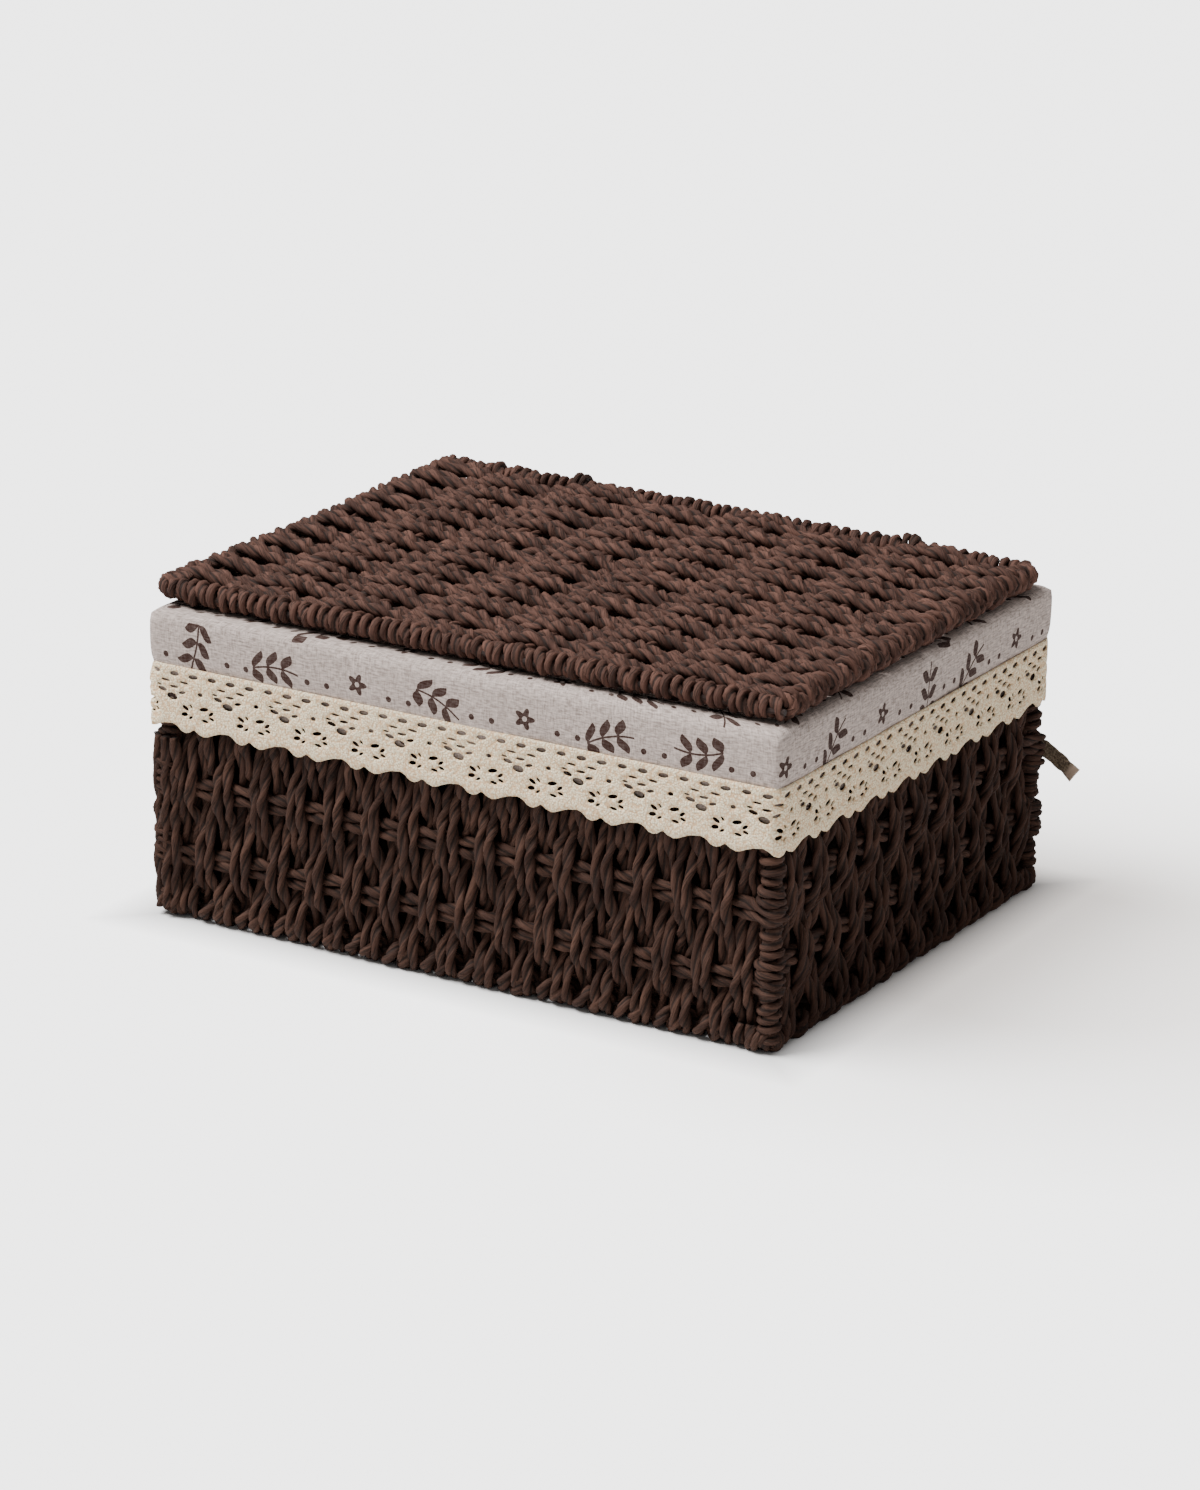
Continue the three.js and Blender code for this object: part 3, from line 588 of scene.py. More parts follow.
def tie_hinges(mats):
    """Two turns of thinner rope round the lid's rear wire and the box's top wire."""
    angle = np.linspace(0, 2 * math.tau, 90)
    for number, side in enumerate(("left", "right")):
        node = f"hinge_tie_{side}"
        low, high = (np.array(corner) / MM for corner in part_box(node))
        middle, half = (low + high) / 2, (high - low) / 2 + 0.2
        line = middle + np.column_stack([TIE_PITCH * (angle / math.tau - 1),
                                         (half[1] + 1) * np.cos(angle),
                                         half[2] * np.sin(angle)])
        line[:, 2] += TIE_HUMP / 2 * (1 + np.sin(angle))
        rope_piece(f"tie_rope_{side}", [(smooth_path(line, 1.5), 2.4)], "box", [node], mats,
                   95 + number)


# Liner and lace

SKIRT_X, SKIRT_Y = 172.6, 137.6  # outer faces of the liner's skirt
SKIRT_HEM, FOLD_TOP = 129.6, 155.5  # the lace is sewn over the cloth's lower edge
CORNER_RADIUS = 2.4
CLOTH_THICKNESS = 0.8
LACE_TOP, LACE_THICKNESS, LACE_PERIOD, LACE_DEPTH = 129.4, 1.3, 32.0, 33.1
NET_STEP, HOLE_GAP, EDGE_GAP = 2.0, 0.55, 0.9  # between the net's points, to a hole, to the edge
# Across the cloth from the inner floor's edge over the fold to the hem: inset, height
CLOTH_PROFILE = ((20.7, 15.2), (20.1, 18), (19.7, 60), (19.6, 105), (19.5, 140), (19.3, 150),
                 (18.7, 153.2), (17.0, 154.7), (14, 155.0), (8, 155.0), (3.4, 154.8), (1.5, 154.1),
                 (0.7, 152.4), (0.4, 148), (0.5, 138), (0.9, 132.5), (1.7, 128.6), (2.1, 124),
                 (2.2, 112.2))


def round_rectangle(run, half_x, half_y, radius):
    """Points and outward directions at arc lengths round a rounded rectangle.

    Length 0 is the middle of the back side; it goes round anticlockwise seen from above.
    """
    flat_x, flat_y = half_x - radius, half_y - radius
    arc = math.pi / 2 * radius
    pieces = (flat_x, arc, 2 * flat_y, arc, 2 * flat_x, arc, 2 * flat_y, arc, flat_x)
    firsts = np.array(((0, flat_y), (-flat_x, flat_y), (-flat_x, -flat_y), (flat_x, -flat_y),
                       (flat_x, flat_y)))
    point = np.zeros((len(run), 2))
    out = np.zeros((len(run), 2))
    start = 0.0
    rest = np.mod(run, sum(pieces))
    for number, length in enumerate(pieces):
        here = (rest >= start) & (rest < start + length)
        past = rest[here] - start
        curved = number % 2
        angle = math.pi / 2 * (number // 2 + 1) + curved * past / radius
        out[here] = np.column_stack([np.cos(angle), np.sin(angle)])
        forward = np.column_stack([-np.sin(angle), np.cos(angle)]) * past[:, None]
        point[here] = firsts[(number + 1) // 2] + radius * out[here] + (1 - curved) * forward
        start += length
    return point, out, sum(pieces)


def side_wave(run, total, rng, waves, height):
    """Slow random waves along the rim that meet where the line closes."""
    value = np.zeros_like(run)
    for k in waves:
        value += rng.uniform(-1, 1) * np.cos(math.tau * k * run / total + rng.uniform(0, ANY_TURN))
    return height * value / math.sqrt(len(waves))


def grid_faces(count, across):
    """Faces of a grid of points, and its rim as pairs of points in the faces' direction."""
    index = np.arange(count * across).reshape(count, across)
    faces = np.stack([index[:-1, :-1], index[:-1, 1:], index[1:, 1:], index[1:, :-1]], axis=-1)
    loop = np.concatenate([index[0], index[1:, -1], index[-1, -2::-1], index[-2:0:-1, 0]])
    return faces.reshape(-1, 4), np.column_stack([loop, np.roll(loop, -1)])


def cloth_piece(name, front, back, faces, rim, places, material, nodes, slot):
    """One piece of two surfaces joined along their rim, with each point's place in the cloth."""
    count = len(front)
    walls = np.array([(b, a, a + count, b + count) for a, b in rim])
    if faces.shape[1] == 3:
        walls = np.vstack([walls[:, [0, 1, 2]], walls[:, [0, 2, 3]]])
    piece = mesh_object(name, np.vstack([front, back]),
                        np.vstack([faces, faces[:, ::-1] + count, walls]), places, "cloth_place")
    dress(piece, "box", nodes, material)
    return piece


CLOTH_COLUMNS = 461
HEM_WAVE, WALL_WAVE = 0.55, 1.1  # how far the cloth swings at the hem and inside the box
INNER_INSET = 12.0  # the cloth lies inside the box where its inset is more
# Heights below which painted shade darkens the cloth, inside the box and behind the lace
SHADED_BELOW, LACED_BELOW = 153, 128
SHADED_SIDE = 1  # the side of the cloth that lies against the weave, painted dark as painted shade
BEHIND_LACE = 0.5  # how much darker the cloth is painted behind the lace, as painted shade


def liner_cloth(mats):
    """The liner's four walls in one cloth: up inside, over the top wire and down as the skirt.

    It lies still at the fold and swings less towards the floor.
    """
    rng = np.random.default_rng(110)
    profile = smooth_path([(0, inset, rise) for inset, rise in CLOTH_PROFILE], 3.4)[:, 1:]
    deep = run_along(profile)
    total = round_rectangle(np.zeros(1), SKIRT_X, SKIRT_Y, CORNER_RADIUS)[2]
    run = np.arange(CLOTH_COLUMNS) * total / (CLOTH_COLUMNS - 1)
    hem_wave = side_wave(run, total, rng, (5, 9, 13, 21), HEM_WAVE)
    wall_wave = side_wave(run, total, rng, (4, 7, 11, 17), WALL_WAVE)
    rows = []
    for inset, rise in profile:
        half_x, half_y = SKIRT_X - inset, SKIRT_Y - inset
        ring_total = round_rectangle(np.zeros(1), half_x, half_y, CORNER_RADIUS)[2]
        point, out, _ = round_rectangle(run / total * ring_total, half_x, half_y, CORNER_RADIUS)
        wave = hem_wave
        if inset > INNER_INSET:
            wave = wall_wave * min(1, (rise - 14) / 40) * 0.8
        shift = wave * math.sin(min(1.0, abs(FOLD_TOP - rise) / 20) * math.pi / 2)
        height = rise + 0.35 * (rise < SKIRT_HEM) * hem_wave
        rows.append(np.column_stack([point + out * shift[:, None], height]))
    grid = np.stack(rows)
    faces, rim = grid_faces(len(profile), CLOTH_COLUMNS)
    normal = np.cross(np.gradient(grid, axis=0), np.gradient(grid, axis=1))
    normal *= CLOTH_THICKNESS / 2 / np.linalg.norm(normal, axis=2)[:, :, None]
    place = np.zeros((2, len(profile), CLOTH_COLUMNS, 3))
    place[:, :, :, 0] = run
    place[:, :, :, 1] = deep[:, None]
    inset, rise = profile[:, :1], profile[:, 1:]
    # Painted shade in the place's third part: against the weave, and fainter behind the lace
    place[SHADED_SIDE, :, :, 2] = (inset > INNER_INSET) & (rise < SHADED_BELOW)
    shaded_behind_lace = (inset < INNER_INSET) & (rise < LACED_BELOW)
    place[1 - SHADED_SIDE, :, :, 2] = BEHIND_LACE * shaded_behind_lace
    piece = cloth_piece("liner_cloth", (grid + normal).reshape(-1, 3),
                        (grid - normal).reshape(-1, 3), faces[:, ::-1], rim[:, ::-1],
                        place.reshape(-1, 3), mats["linen"],
                        ["liner_front", "liner_back", "liner_left", "liner_right"], "linen")


LINER_HALF_X, LINER_HALF_Y, LINER_RISE = 152.0, 117.0, 14.4
LINER_PLACE = (200, 500)  # where the liner's floor lies in the cloth that the print runs over


def liner_bottom(mats):
    """The liner's floor, lying on the woven bottom."""
    rng = np.random.default_rng(112)
    across, down = 96, 74
    x, y = np.meshgrid(np.linspace(-LINER_HALF_X, LINER_HALF_X, across),
                       np.linspace(-LINER_HALF_Y, LINER_HALF_Y, down))
    rise = 0.25 * np.sin(x / 23 + rng.uniform(0, 6)) * np.cos(y / 19 + rng.uniform(0, 6))
    top = np.stack([x, y, LINER_RISE + rise], axis=-1).reshape(-1, 3)
    place = np.column_stack([top[:, :2] + LINER_PLACE, np.zeros(len(top))])
    piece = cloth_piece("liner_bottom_cloth", top, top - (0, 0, CLOTH_THICKNESS),
                        *grid_faces(down, across), np.vstack([place, place]), mats["linen"],
                        ["liner_floor"], "linen")


# Holes of one repeat of the lace: along, down from the top edge, length, height, tilt in degrees
LACE_HOLES = (
    (1.5, 4, 5.4, 2.5, -4), (12.2, 4.1, 5.6, 2.4, -6), (22.9, 3.8, 5, 2.4, -3),
    (7, 7.8, 5.2, 1.4, 3), (28.4, 7.9, 5, 1.3, 2), (1.2, 10.6, 5, 1.5, -3),
    (24.6, 10.7, 3.2, 1.2, 4), (0, 15.6, 6.2, 3.6, 4), (-5.6, 12.8, 5.1, 2.2, 8),
    (5.8, 12.9, 4.1, 1.6, -14), (16.2, 12.2, 3, 2.1, -8), (7.7, 20.2, 4.2, 2.1, 26),
    (10.9, 18.9, 2.7, 1.3, 48), (7.1, 23.5, 4.1, 2.2, -12), (10.7, 24.6, 2.9, 1.3, -32),
    (18.3, 19.2, 5.4, 2.1, -14), (22.4, 20.8, 3.5, 1.6, -34), (22.8, 23.3, 3.2, 1.6, 14),
    (18.9, 24.9, 4, 1.6, 6),
)


def lace_edge(along):
    """How far down the scalloped edge lies, for points along one repeat."""
    knots = (0, 2.5, 5.0, 7.5, 10.0, 12.4, 15.0, 18.0, 20.5, 23.0, 27.0, 32.0)
    depth = (29.2, 30.0, 32.2, 33.0, 32.2, 30.4, 32.1, 33.1, 32.6, 31.4, 29.9, 29.2)
    return np.interp(np.mod(along, LACE_PERIOD), knots, depth)


def in_hole(along, down, grow=0.0):
    """True for points inside a hole, or within `grow` of it."""
    inside = np.zeros(len(along), bool)
    for x, y, length, height, tilt in LACE_HOLES:
        c, s = math.cos(math.radians(tilt)), math.sin(math.radians(tilt))
        for wrap in (-LACE_PERIOD, 0, LACE_PERIOD):
            dx, dy = along - x - wrap, down - y
            a, b = dx * c + dy * s, dy * c - dx * s
            inside |= (a / (length / 2 + grow)) ** 2 + (b / (height / 2 + grow)) ** 2 < 1
    return inside


def hole_outline(x, y, length, height, tilt):
    """Points (along, down) round one hole."""
    c, s = math.cos(math.radians(tilt)), math.sin(math.radians(tilt))
    corners = 12 if length > 3 else 9
    angle = np.arange(corners) * math.tau / corners
    u, v = length / 2 * np.cos(angle), height / 2 * np.sin(angle)
    return list(zip(x + u * c - v * s, y + v * c + u * s))


def lace_net():
    """Points (along, down) and triangles of one repeat, holes left out, cut at its two ends."""
    points, edges = [], []

    def add_line(line):
        edges.extend((len(points) + i, len(points) + i + 1) for i in range(len(line) - 1))
        points.extend(line)

    for x, *hole in LACE_HOLES:
        for place in (x, x + LACE_PERIOD):
            if place - hole[1] > LACE_PERIOD:
                continue
            first = len(points)
            add_line(hole_outline(place, *hole))
            edges.append((len(points) - 1, first))
    for first, last in ((-6, 0), (0, LACE_PERIOD), (LACE_PERIOD, LACE_PERIOD + 9)):
        along = np.arange(first, last)
        add_line(list(zip(along, lace_edge(along))))
    for number, down in enumerate(np.arange(0, LACE_DEPTH, NET_STEP)):
        along = np.arange(-6, LACE_PERIOD + 8, NET_STEP) + number % 2 * NET_STEP / 2
        near = in_hole(along, down, HOLE_GAP) & (down > 0)
        kept = along[~near & (down <= lace_edge(along) - EDGE_GAP)]
        points.extend((at, down) for at in kept)
    found = delaunay_2d_cdt([Vector(p) for p in points], edges, [], 0, 1e-4)
    flat = np.array([tuple(v) for v in found[0]])
    faces = np.array(found[2])
    along, down = flat[faces].mean(axis=1).T
    keep = ~in_hole(along, down) & (down < lace_edge(along))
    return flat, faces[keep & (along >= 0) & (along < LACE_PERIOD)]


LACE_WAVE, LACE_SLACK = 0.8, 2.2  # how far the lace swings, and hangs off the skirt's left end
THIN_EDGE = 0.45  # the lace's thickness at its edges, as a share
LACE_INSET, LACE_CORNER = 0.7, 6.0  # its middle from the skirt's face, and its corners' radius
JOINED = 0.002  # points of neighbouring repeats nearer than this are one


def lace_band(mats):
    """The crocheted band sewn over the skirt's hem, with a scalloped lower edge."""
    rng = np.random.default_rng(120)
    flat, faces = lace_net()
    total = round_rectangle(np.zeros(1), SKIRT_X, SKIRT_Y, LACE_CORNER)[2]
    repeats = int(round(total / LACE_PERIOD))
    stretch = total / (repeats * LACE_PERIOD)
    points = np.vstack([flat + (LACE_PERIOD * i, 0) for i in range(repeats)])
    faces = np.vstack([faces + len(flat) * i for i in range(repeats)])
    key = np.round(points / JOINED).astype(np.int64)
    _, first, back = np.unique(key, axis=0, return_index=True, return_inverse=True)
    points, faces = points[first], back.reshape(-1)[faces]
    used, back = np.unique(faces, return_inverse=True)
    points, faces = points[used], back.reshape(faces.shape)
    edges = np.vstack([faces[:, [0, 1]], faces[:, [1, 2]], faces[:, [2, 0]]])
    _, where, often = np.unique(np.sort(edges, axis=1), axis=0, return_inverse=True,
                                return_counts=True)
    rim = edges[often[where.reshape(-1)] == 1]
    run, down = points[:, 0] * stretch, points[:, 1]
    point, out, _ = round_rectangle(run, SKIRT_X - LACE_INSET, SKIRT_Y - LACE_INSET, LACE_CORNER)
    wave = side_wave(run, total, rng, (7, 12, 19, 31), LACE_WAVE) * np.clip(down / 30, 0, 1)
    slack = np.clip(-170 - point[:, 0], 0, 1) * np.clip(down / 8, 0, 1)
    out_by = wave + 0.1 + LACE_SLACK * slack
    puff = np.full(len(points), LACE_THICKNESS / 2)
    puff[rim.ravel()] *= THIN_EDGE
    front, behind = (np.column_stack([point + out * by[:, None], LACE_TOP - down])
                     for by in (out_by + puff, out_by - puff))
    place = np.column_stack([points, np.zeros(len(points))])
    piece = cloth_piece("lace_band", front, behind, faces[:, ::-1], rim[:, ::-1],
                        np.vstack([place, place]), mats["lace"], ["lace_trim"], "cotton_lace")


# Middle line of the tape's tail: x, out from the back wall's face, z
TAPE_ROUTE = ((139, -4.8, 74.5), (146, -1.0, 74.5), (154, 3.2, 74.3), (163, 3.9, 72.8),
              (172, 3.8, 69.8), (180, 3.4, 65.2), (187.5, 3.0, 59.8))
TAPE_WALL = 135  # the back wall's face
TAPE_WIDTH, TAPE_THICKNESS, TAPE_STEP = 8.0, 0.9, 0.8


def tape_tail(mats):
    """The cut end of the tape that the liner is tied with, standing out past the back corner."""
    rng = np.random.default_rng(130)
    line = smooth_path([(x, TAPE_WALL + out, z) for x, out, z in TAPE_ROUTE], TAPE_STEP)
    count = len(line)
    tangent = np.gradient(line, axis=0)
    tangent /= np.linalg.norm(tangent, axis=1)[:, None]
    wide = np.column_stack([-tangent[:, 2], np.zeros(count), tangent[:, 0]])
    wide /= np.linalg.norm(wide, axis=1)[:, None]
    across = np.linspace(-1, 1, 9)
    fray = 0.35 * slow_noise(rng, count, 3)
    rows = []
    for share in across:
        edge = 1 + fray * (0.3 if abs(share) == 1 else 0.0)
        ripple = 0.35 * np.sin(2.2 * share + np.arange(count) / 6)
        rows.append(line + wide * (share * TAPE_WIDTH / 2 * edge)[:, None]
                    + np.array([0, 1, 0]) * ripple[:, None])
    top = np.stack(rows, axis=1).reshape(-1, 3) + (0, TAPE_THICKNESS / 2, 0)
    run = np.repeat(np.arange(count) * TAPE_STEP, len(across))
    place = np.column_stack([run, np.tile(across * TAPE_WIDTH / 2, count), 0 * run])
    piece = cloth_piece("tape_tail", top, top - (0, TAPE_THICKNESS, 0),
                        *grid_faces(count, len(across)), np.vstack([place, place]), mats["tape"],
                        ["liner_tape_tail"], "tape")


# Materials


def math_node(operation):
    """A method of Value that adds one math node to the tree."""
    return lambda self, *others: self.nodes.calc(operation, self, *others)


class Value:
    """A node's output, which can be reckoned with like a number."""

    def __init__(self, nodes, socket):
        self.nodes = nodes
        self.socket = socket

    __add__ = math_node("ADD")
    __sub__ = math_node("SUBTRACT")
    __mul__ = math_node("MULTIPLY")
    __truediv__ = math_node("DIVIDE")
    __abs__ = math_node("ABSOLUTE")
    __lt__ = math_node("LESS_THAN")
    __gt__ = math_node("GREATER_THAN")


class Nodes:
    """Short calls for building one material's node tree."""

    def __init__(self, name):
        self.material = bpy.data.materials.new(name)
        self.material.use_nodes = True
        self.tree = self.material.node_tree
        self.shader = self.tree.nodes["Principled BSDF"]

    def put(self, socket, value):
        if isinstance(value, Value):
            self.tree.links.new(value.socket, socket)
        else:
            socket.default_value = value

    def add(self, kind, settings=(), **inputs):
        """A new node's outputs by name."""
        node = self.tree.nodes.new(kind)
        for key, value in dict(settings).items():
            setattr(node, key, value)
        for key, value in inputs.items():
            self.put(node.inputs[key.replace("_", " ")], value)
        return {socket.name: Value(self, socket) for socket in node.outputs}

    def operate(self, kind, operation, values):
        node = self.tree.nodes.new(kind)
        node.operation = operation
        for socket, value in zip(node.inputs, values):
            self.put(socket, value)
        return Value(self, node.outputs[0])

    def calc(self, operation, *values):
        return self.operate("ShaderNodeMath", operation, values)

    def scaled(self, vector, scale):
        return self.operate("ShaderNodeVectorMath", "MULTIPLY", (vector, scale))

    def parts(self, vector):
        found = self.add("ShaderNodeSeparateXYZ", Vector=vector)
        return found["X"], found["Y"], found["Z"]

    def length(self, x, y):
        return self.calc("SQRT", x * x + y * y)

    def attribute(self, name):
        return self.add("ShaderNodeAttribute", {"attribute_name": name})["Vector"]

    def noise(self, vector, scale, detail, roughness=0.5):
        """Noise with its own scale along each axis."""
        return self.add("ShaderNodeTexNoise", Vector=self.scaled(vector, scale), Scale=1.0,
                        Detail=detail, Roughness=roughness)["Fac"]

    def ramp(self, value, low, high, to_low=0.0, to_high=1.0):
        return self.add("ShaderNodeMapRange", Value=value, From_Min=low, From_Max=high,
                        To_Min=to_low, To_Max=to_high)["Result"]

    def mix(self, factor, first, second):
        node = self.tree.nodes.new("ShaderNodeMix")
        node.data_type = "RGBA"
        for number, value in ((0, factor), (6, first), (7, second)):
            self.put(node.inputs[number], value)
        return Value(self, node.outputs[2])

    def bump(self, height, strength, distance):
        return self.add("ShaderNodeBump", Height=height, Strength=strength,
                        Distance=distance)["Normal"]

    def finish(self, color, roughness, specular, **inputs):
        inputs.update({"Base Color": color, "Roughness": roughness, "Specular IOR Level": specular})
        for name, value in inputs.items():
            self.put(self.shader.inputs[name], value)
        return self.material


def linear(red, green, blue):
    """A colour given as 0 to 255 on screen, in linear light."""
    return tuple((c / 255) ** 2.2 for c in (red, green, blue)) + (1.0,)


# Painted shade in the creases, together with the paper's fibre grain
CREASE_SHADE_COLOR = (0.012, 0.007, 0.005, 1)
# Painted shade in the groove between the plies
GROOVE_SHADE_COLOR = (0.014, 0.008, 0.006, 1)
GROOVE_EDGE = (0.0014, 0.0020)  # the painted-shade groove between the plies, from the rope's middle


def rope_material(name, dark, light):
    """Twisted kraft paper: fine creases run with each ply, darkened partly as fibre grain and
    partly as painted shade in the folds, and the grooves between the plies carry painted shade.
    """
    n = Nodes(name)
    place = n.attribute("rope_place")
    folds = n.noise(place, (85, 620, 620), 4.0, 0.65)
    fibres = n.noise(place, (160, 1700, 1700), 2.0, 0.6)
    creases = folds * 0.62 + fibres * 0.38
    patches = n.noise(place, (45, 120, 120), 2.0)
    along = n.noise(place, (9, 9, 9), 1.0)
    color = n.mix(n.ramp(patches, 0.3, 0.7), dark, light)
    # Painted shade in the creases, mixed with fibre grain
    color = n.mix(n.ramp(creases, 0.40, 0.53, 0.78, 0.0), color, CREASE_SHADE_COLOR)
    color = n.mix(n.ramp(along, 0.35, 0.65, 0.0, 0.22), color, dark)
    _, across, out = n.parts(place)
    # Painted shade in the groove between the plies
    groove = n.ramp(n.length(across, out), *GROOVE_EDGE, 0.9, 0.0)
    color = n.mix(groove, color, GROOVE_SHADE_COLOR)
    return n.finish(color, n.ramp(creases, 0.3, 0.7, 0.85, 0.68), 0.22,
                    Normal=n.bump(creases, 1.0, 0.0016))


# The print, in millimetres: its lattice, how far each row moves along and all of it down
PRINT_CELL, PRINT_SHIFT, PRINT_DOWN = (46.0, 27.0), 17.0, 4.0
MOTIF_UNIT = 1.8  # the sprigs' and flowers' sizes are in these units
DOT_PLACE, DOT_RADIUS = (17.5, 4.0), 1.5
LEAF_SPACING = 4.6  # along the stem, which is also a leaf's length
SPRIG_SHARE = 0.66  # the other cells hold a flower


def print_mask(n, place):
    """The brown print on the linen: leaf sprigs and small flowers on a staggered lattice."""
    u, v = (part * 1000.0 for part in n.parts(place)[:2])
    v = v + PRINT_DOWN
    row = n.calc("FLOOR", v / PRINT_CELL[1])
    shifted = u + row * PRINT_SHIFT
    column = n.calc("FLOOR", shifted / PRINT_CELL[0])
    x = shifted - column * PRINT_CELL[0] - PRINT_CELL[0] / 2
    y = v - row * PRINT_CELL[1] - PRINT_CELL[1] / 2
    dot = n.length(abs(x) - DOT_PLACE[0], y - DOT_PLACE[1]) < DOT_RADIUS
    x, y = x / MOTIF_UNIT, y / MOTIF_UNIT
    cell = n.add("ShaderNodeCombineXYZ", X=column, Y=row, Z=3.0)["Vector"]
    random = n.add("ShaderNodeTexWhiteNoise", {"noise_dimensions": "3D"}, Vector=cell)
    angle = random["Value"] * 6.283
    chance = n.add("ShaderNodeSeparateColor", Color=random["Color"])["Green"]
    c, s = n.calc("COSINE", angle), n.calc("SINE", angle)
    a = x * c + y * s - 1.0
    b = y * c - x * s - a * a * 0.022
    side = abs(b)
    stem = (side < 0.28) * (abs(a + 1.2) < 7.2)
    beat = n.calc("FRACT", (a + 9.0) / LEAF_SPACING) * LEAF_SPACING
    swept = abs(beat - 0.9 - side * 0.55)
    width = n.calc("SINE", side * (math.pi / LEAF_SPACING)) * 1.6
    leaf = (swept < width) * (side < 4.5) * (abs(a + 2.0) < 6.7)
    sprig = n.calc("MAXIMUM", stem, leaf)
    far = n.length(x, y)
    petals = n.calc("COSINE", n.calc("ARCTAN2", y, x) * 5.0) * 0.75 + 2.3
    flower = (far < petals) * (far > 0.7)
    motif = flower * (chance > SPRIG_SHARE) + sprig * (chance < SPRIG_SHARE)
    return n.calc("MINIMUM", motif + dot, 1.0)


def linen_material():
    """Pale linen-cotton with uneven threads and a soft brown print, and painted shade
    where it lies against the weave and behind the lace.
    """
    n = Nodes("printed_linen")
    place = n.attribute("cloth_place")
    weft = n.noise(place, (230, 1150, 0), 2.0, 0.6)
    warp = n.noise(place, (1150, 230, 0), 2.0, 0.6)
    threads = weft * 0.6 + warp * 0.4
    cloudy = n.noise(place, (26, 26, 1), 2.0)
    color = n.mix(n.ramp(threads, 0.38, 0.62), linear(140, 127, 120), linear(210, 194, 186))
    color = n.mix(n.ramp(cloudy, 0.3, 0.7, 0.0, 0.25), color, linear(172, 158, 150))
    mask = print_mask(n, place) * n.ramp(threads, 0.3, 0.62, 1.0, 0.88)
    color = n.mix(mask, color, linear(50, 28, 22))
    # Painted shade: dark brown on the face against the weave, and fainter behind the lace
    shaded = n.parts(n.scaled(place, (0, 0, 1000)))[2]
    color = n.mix(shaded, color, linear(38, 30, 27))
    return n.finish(color, 0.9, 0.15, Normal=n.bump(threads, 0.6, 0.0006))


def lace_material():
    """Cream crochet cotton, knobbly with stitches."""
    n = Nodes("cotton_crochet")
    place = n.attribute("cloth_place")
    stitch = n.add("ShaderNodeTexVoronoi", {"feature": "F1"}, Vector=place, Scale=850.0,
                   Randomness=0.8)["Distance"]
    fine = n.noise(place, (1500, 1500, 1), 2.0)
    color = n.mix(n.ramp(stitch, 0.35, 0.75), linear(255, 241, 208), linear(226, 190, 150))
    color = n.mix(n.ramp(fine, 0.32, 0.5, 0.5, 0.0), color, linear(180, 142, 104))
    return n.finish(color, 0.9, 0.15, Normal=n.bump(fine * 0.3 - stitch, 1.0, 0.0008))


def tape_material():
    """Woven tape, flecked olive brown, paler at its cut end."""
    n = Nodes("flecked_tape")
    place = n.attribute("cloth_place")
    flecks = n.noise(place, (900, 900, 1), 3.0, 0.7)
    color = n.mix(n.ramp(flecks, 0.4, 0.62), linear(74, 62, 50), linear(150, 132, 112))
    cut = n.ramp(n.parts(place)[0], 0.0485, 0.0512)
    color = n.mix(cut, color, linear(196, 172, 152))
    return n.finish(color, 0.85, 0.2, Normal=n.bump(flecks, 0.6, 0.0004))


def steel_material():
    """Steel wire, lacquered brown so that it doesn't show between the ropes."""
    n = Nodes("lacquered_wire")
    place = n.add("ShaderNodeTexCoord")["Object"]
    dull = n.noise(place, (60, 60, 60), 3.0)
    color = n.mix(n.ramp(dull, 0.35, 0.65), linear(50, 33, 27), linear(34, 22, 18))
    return n.finish(color, n.ramp(dull, 0.3, 0.7, 0.55, 0.7), 0.3)


FLOOR_LIFT = 2.2  # lifts the floor to the photograph's pale grey, for the camera only
FLOOR_SHADED = (0.168, 0.133)  # half sizes of the floor under the box, which isn't lifted
# The painted shadow right of the box: its middle, and the distances over which it fades out
SHADE_MIDDLE, SHADE_REACH = (0.22, 0.06), (0.10, 0.30)


def floor_material():
    """The pale floor, with painted shadow on the box's right and round its foot."""
    n = Nodes("studio_floor")
    place = n.add("ShaderNodeTexCoord")["Object"]
    soft = n.noise(place, (0.8, 0.8, 0.8), 1.0)
    color = n.mix(n.ramp(soft, 0.3, 0.7), linear(230, 229, 228), linear(232, 231, 230))
    seen = n.add("ShaderNodeLightPath")["Is Camera Ray"]
    x, y, _ = n.parts(place)
    beyond = n.calc("MAXIMUM", abs(x) - FLOOR_SHADED[0], abs(y) - FLOOR_SHADED[1])
    # Painted contact shade: the camera-only lift fades in over 30 mm out from the box, unlifted
    # under it
    lift_past_contact_shade = n.ramp(beyond, 0.0, 0.03)
    from_shade = n.length(x - SHADE_MIDDLE[0], y - SHADE_MIDDLE[1])
    shade = n.ramp(from_shade, *SHADE_REACH, 1.0, 0.0)
    # Painted shadow: near the box's right, the camera-only lift turns a dim warm grey
    glow = {"Emission Color": n.mix(shade, (1, 1, 1, 1), (0.44, 0.405, 0.38, 1)),
            "Emission Strength": seen * lift_past_contact_shade * FLOOR_LIFT}
    return n.finish(color, 0.95, 0.05, **glow)


# Studio


def set_camera():
    """The camera that the photograph was taken from, fitted to the box's corners."""
    azimuth, elevation, roll = (math.radians(angle) for angle in (30.598, 18.743, 0.9))
    target, distance = Vector((-0.01365, 0.01919, 0.07192)), 2.57686
    focal, picture_height, sensor = 5246.2, 1490, 36.0
    camera = bpy.data.objects.new("camera", bpy.data.cameras.new("camera"))
    camera.data.lens = focal * sensor / picture_height
    camera.data.sensor_width = sensor
    camera.data.clip_end = 50
    turn = (Matrix.Rotation(azimuth, 4, "Z") @ Matrix.Rotation(math.pi / 2 - elevation, 4, "X")
            @ Matrix.Rotation(roll, 4, "Z"))
    camera.matrix_world = (Matrix.Translation(target) @ turn
                           @ Matrix.Translation((0, 0, distance)))
    bpy.context.scene.collection.objects.link(camera)
    bpy.context.scene.camera = camera


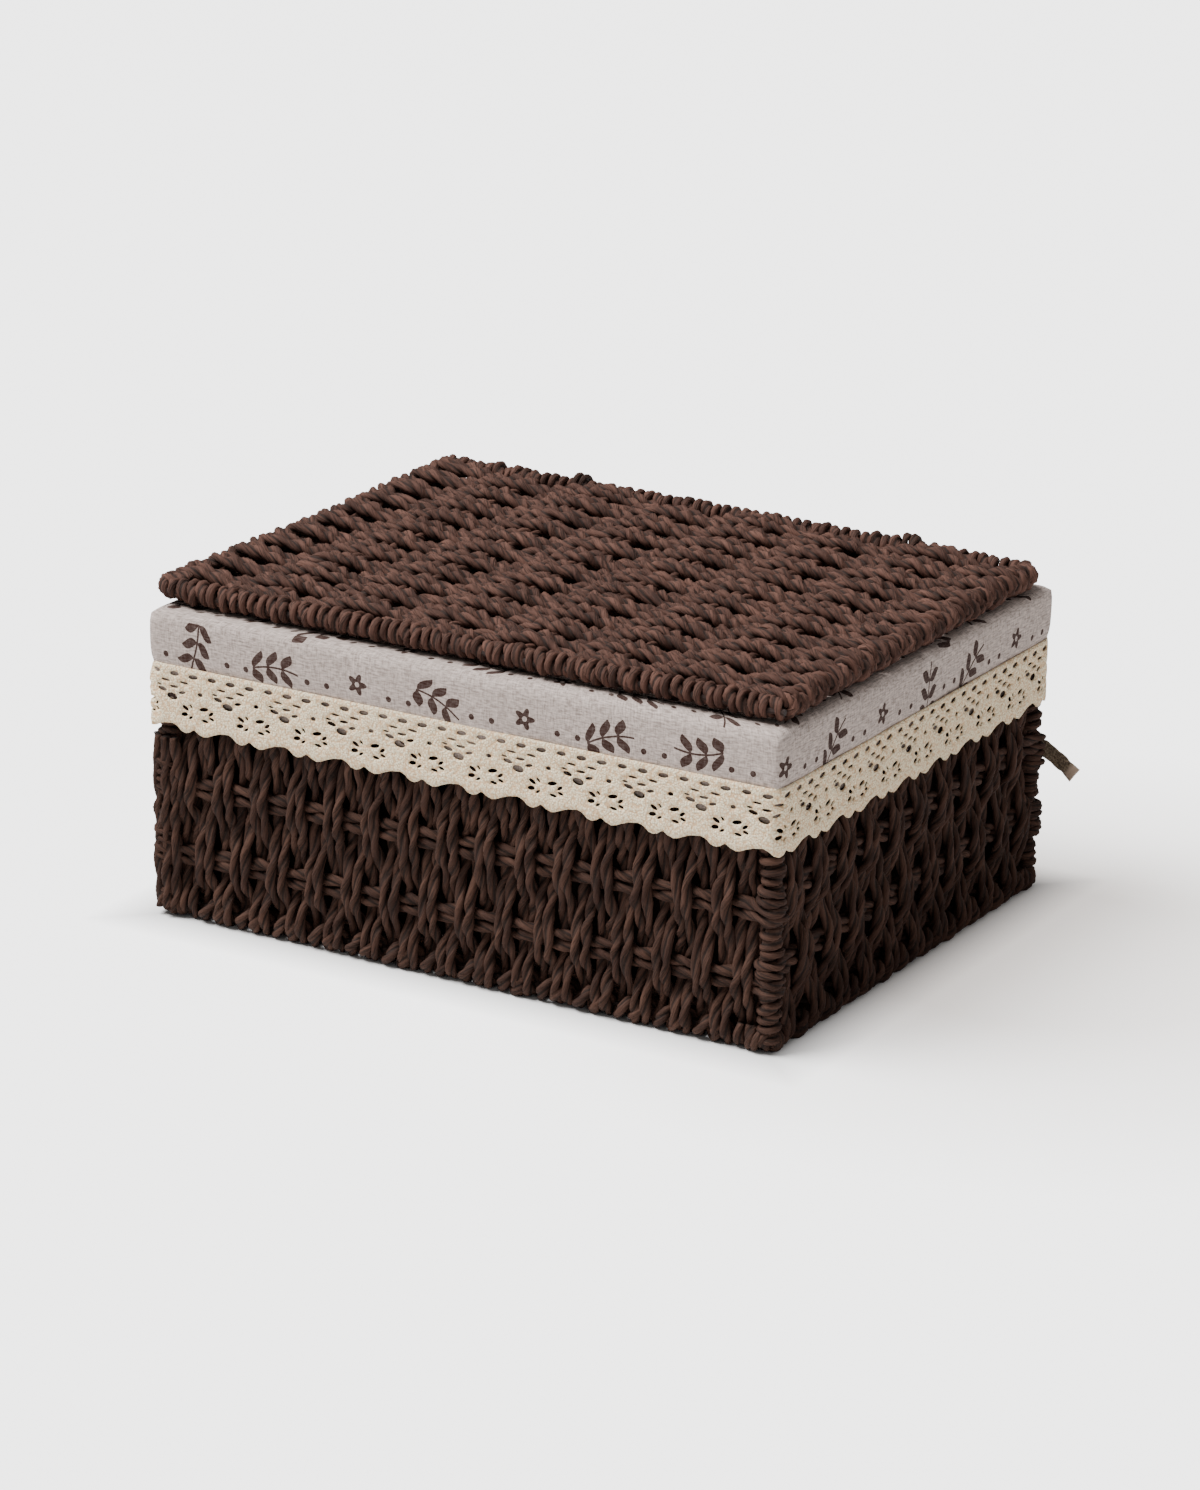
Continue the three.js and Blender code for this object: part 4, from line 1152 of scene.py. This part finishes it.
SUN_DIRECTION, SUN_STRENGTH, SUN_WIDTH = (-0.44, -0.27, 0.86), 6.0, 34
FILL_STRENGTH = 0.34
FLOOR_HALF = 9.0


def set_light():
    """A wide soft sun from the left, even out to the picture's edge, and white air as fill."""
    light = bpy.data.lights.new("key_light", "SUN")
    light.energy = SUN_STRENGTH
    light.angle = math.radians(SUN_WIDTH)
    lamp = bpy.data.objects.new("key_light", light)
    lamp.rotation_mode = "QUATERNION"
    lamp.rotation_quaternion = Vector(SUN_DIRECTION).to_track_quat("Z", "Y")
    bpy.context.scene.collection.objects.link(lamp)
    world = bpy.data.worlds.new("studio_air")
    bpy.context.scene.world = world
    world.use_nodes = True
    air = world.node_tree.nodes["Background"]
    air.inputs["Color"].default_value = (1.0, 1.0, 1.0, 1)
    air.inputs["Strength"].default_value = FILL_STRENGTH


def set_floor():
    """A pale floor out to the picture's edge."""
    corners = [(x * FLOOR_HALF, y * FLOOR_HALF, 0) for x, y in ((-1, -1), (1, -1), (1, 1), (-1, 1))]
    mesh = bpy.data.meshes.new("floor")
    mesh.from_pydata(corners, [], [(0, 1, 2, 3)])
    mesh.materials.append(floor_material())
    floor = bpy.data.objects.new("floor", mesh)
    bpy.context.scene.collection.objects.link(floor)


# Scene


def build():
    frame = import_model()
    set_camera()
    set_light()
    set_floor()
    mats = {
        "rope": rope_material("paper_rope", linear(56, 37, 30), linear(90, 64, 53)),
        "lid_rope": rope_material("lid_paper_rope", linear(68, 46, 39), linear(112, 80, 69)),
        "linen": linen_material(),
        "lace": lace_material(),
        "tape": tape_material(),
    }
    tape_tail(mats)
    for number, name in enumerate(WALLS):
        weave_wall(name, mats, 300 + 20 * number)
    weave_posts(mats)
    wind_bottom_corners(mats)
    weave_bottom(mats)
    weave_lid(mats)
    wind_lid_rims(mats)
    tie_hinges(mats)
    liner_cloth(mats)
    liner_bottom(mats)
    lace_band(mats)
    steel = steel_material()
    for name, node in frame["nodes"].items():
        if "wire" in name and not node.hide_render:
            node.data.materials.clear()
            node.data.materials.append(steel)


build()
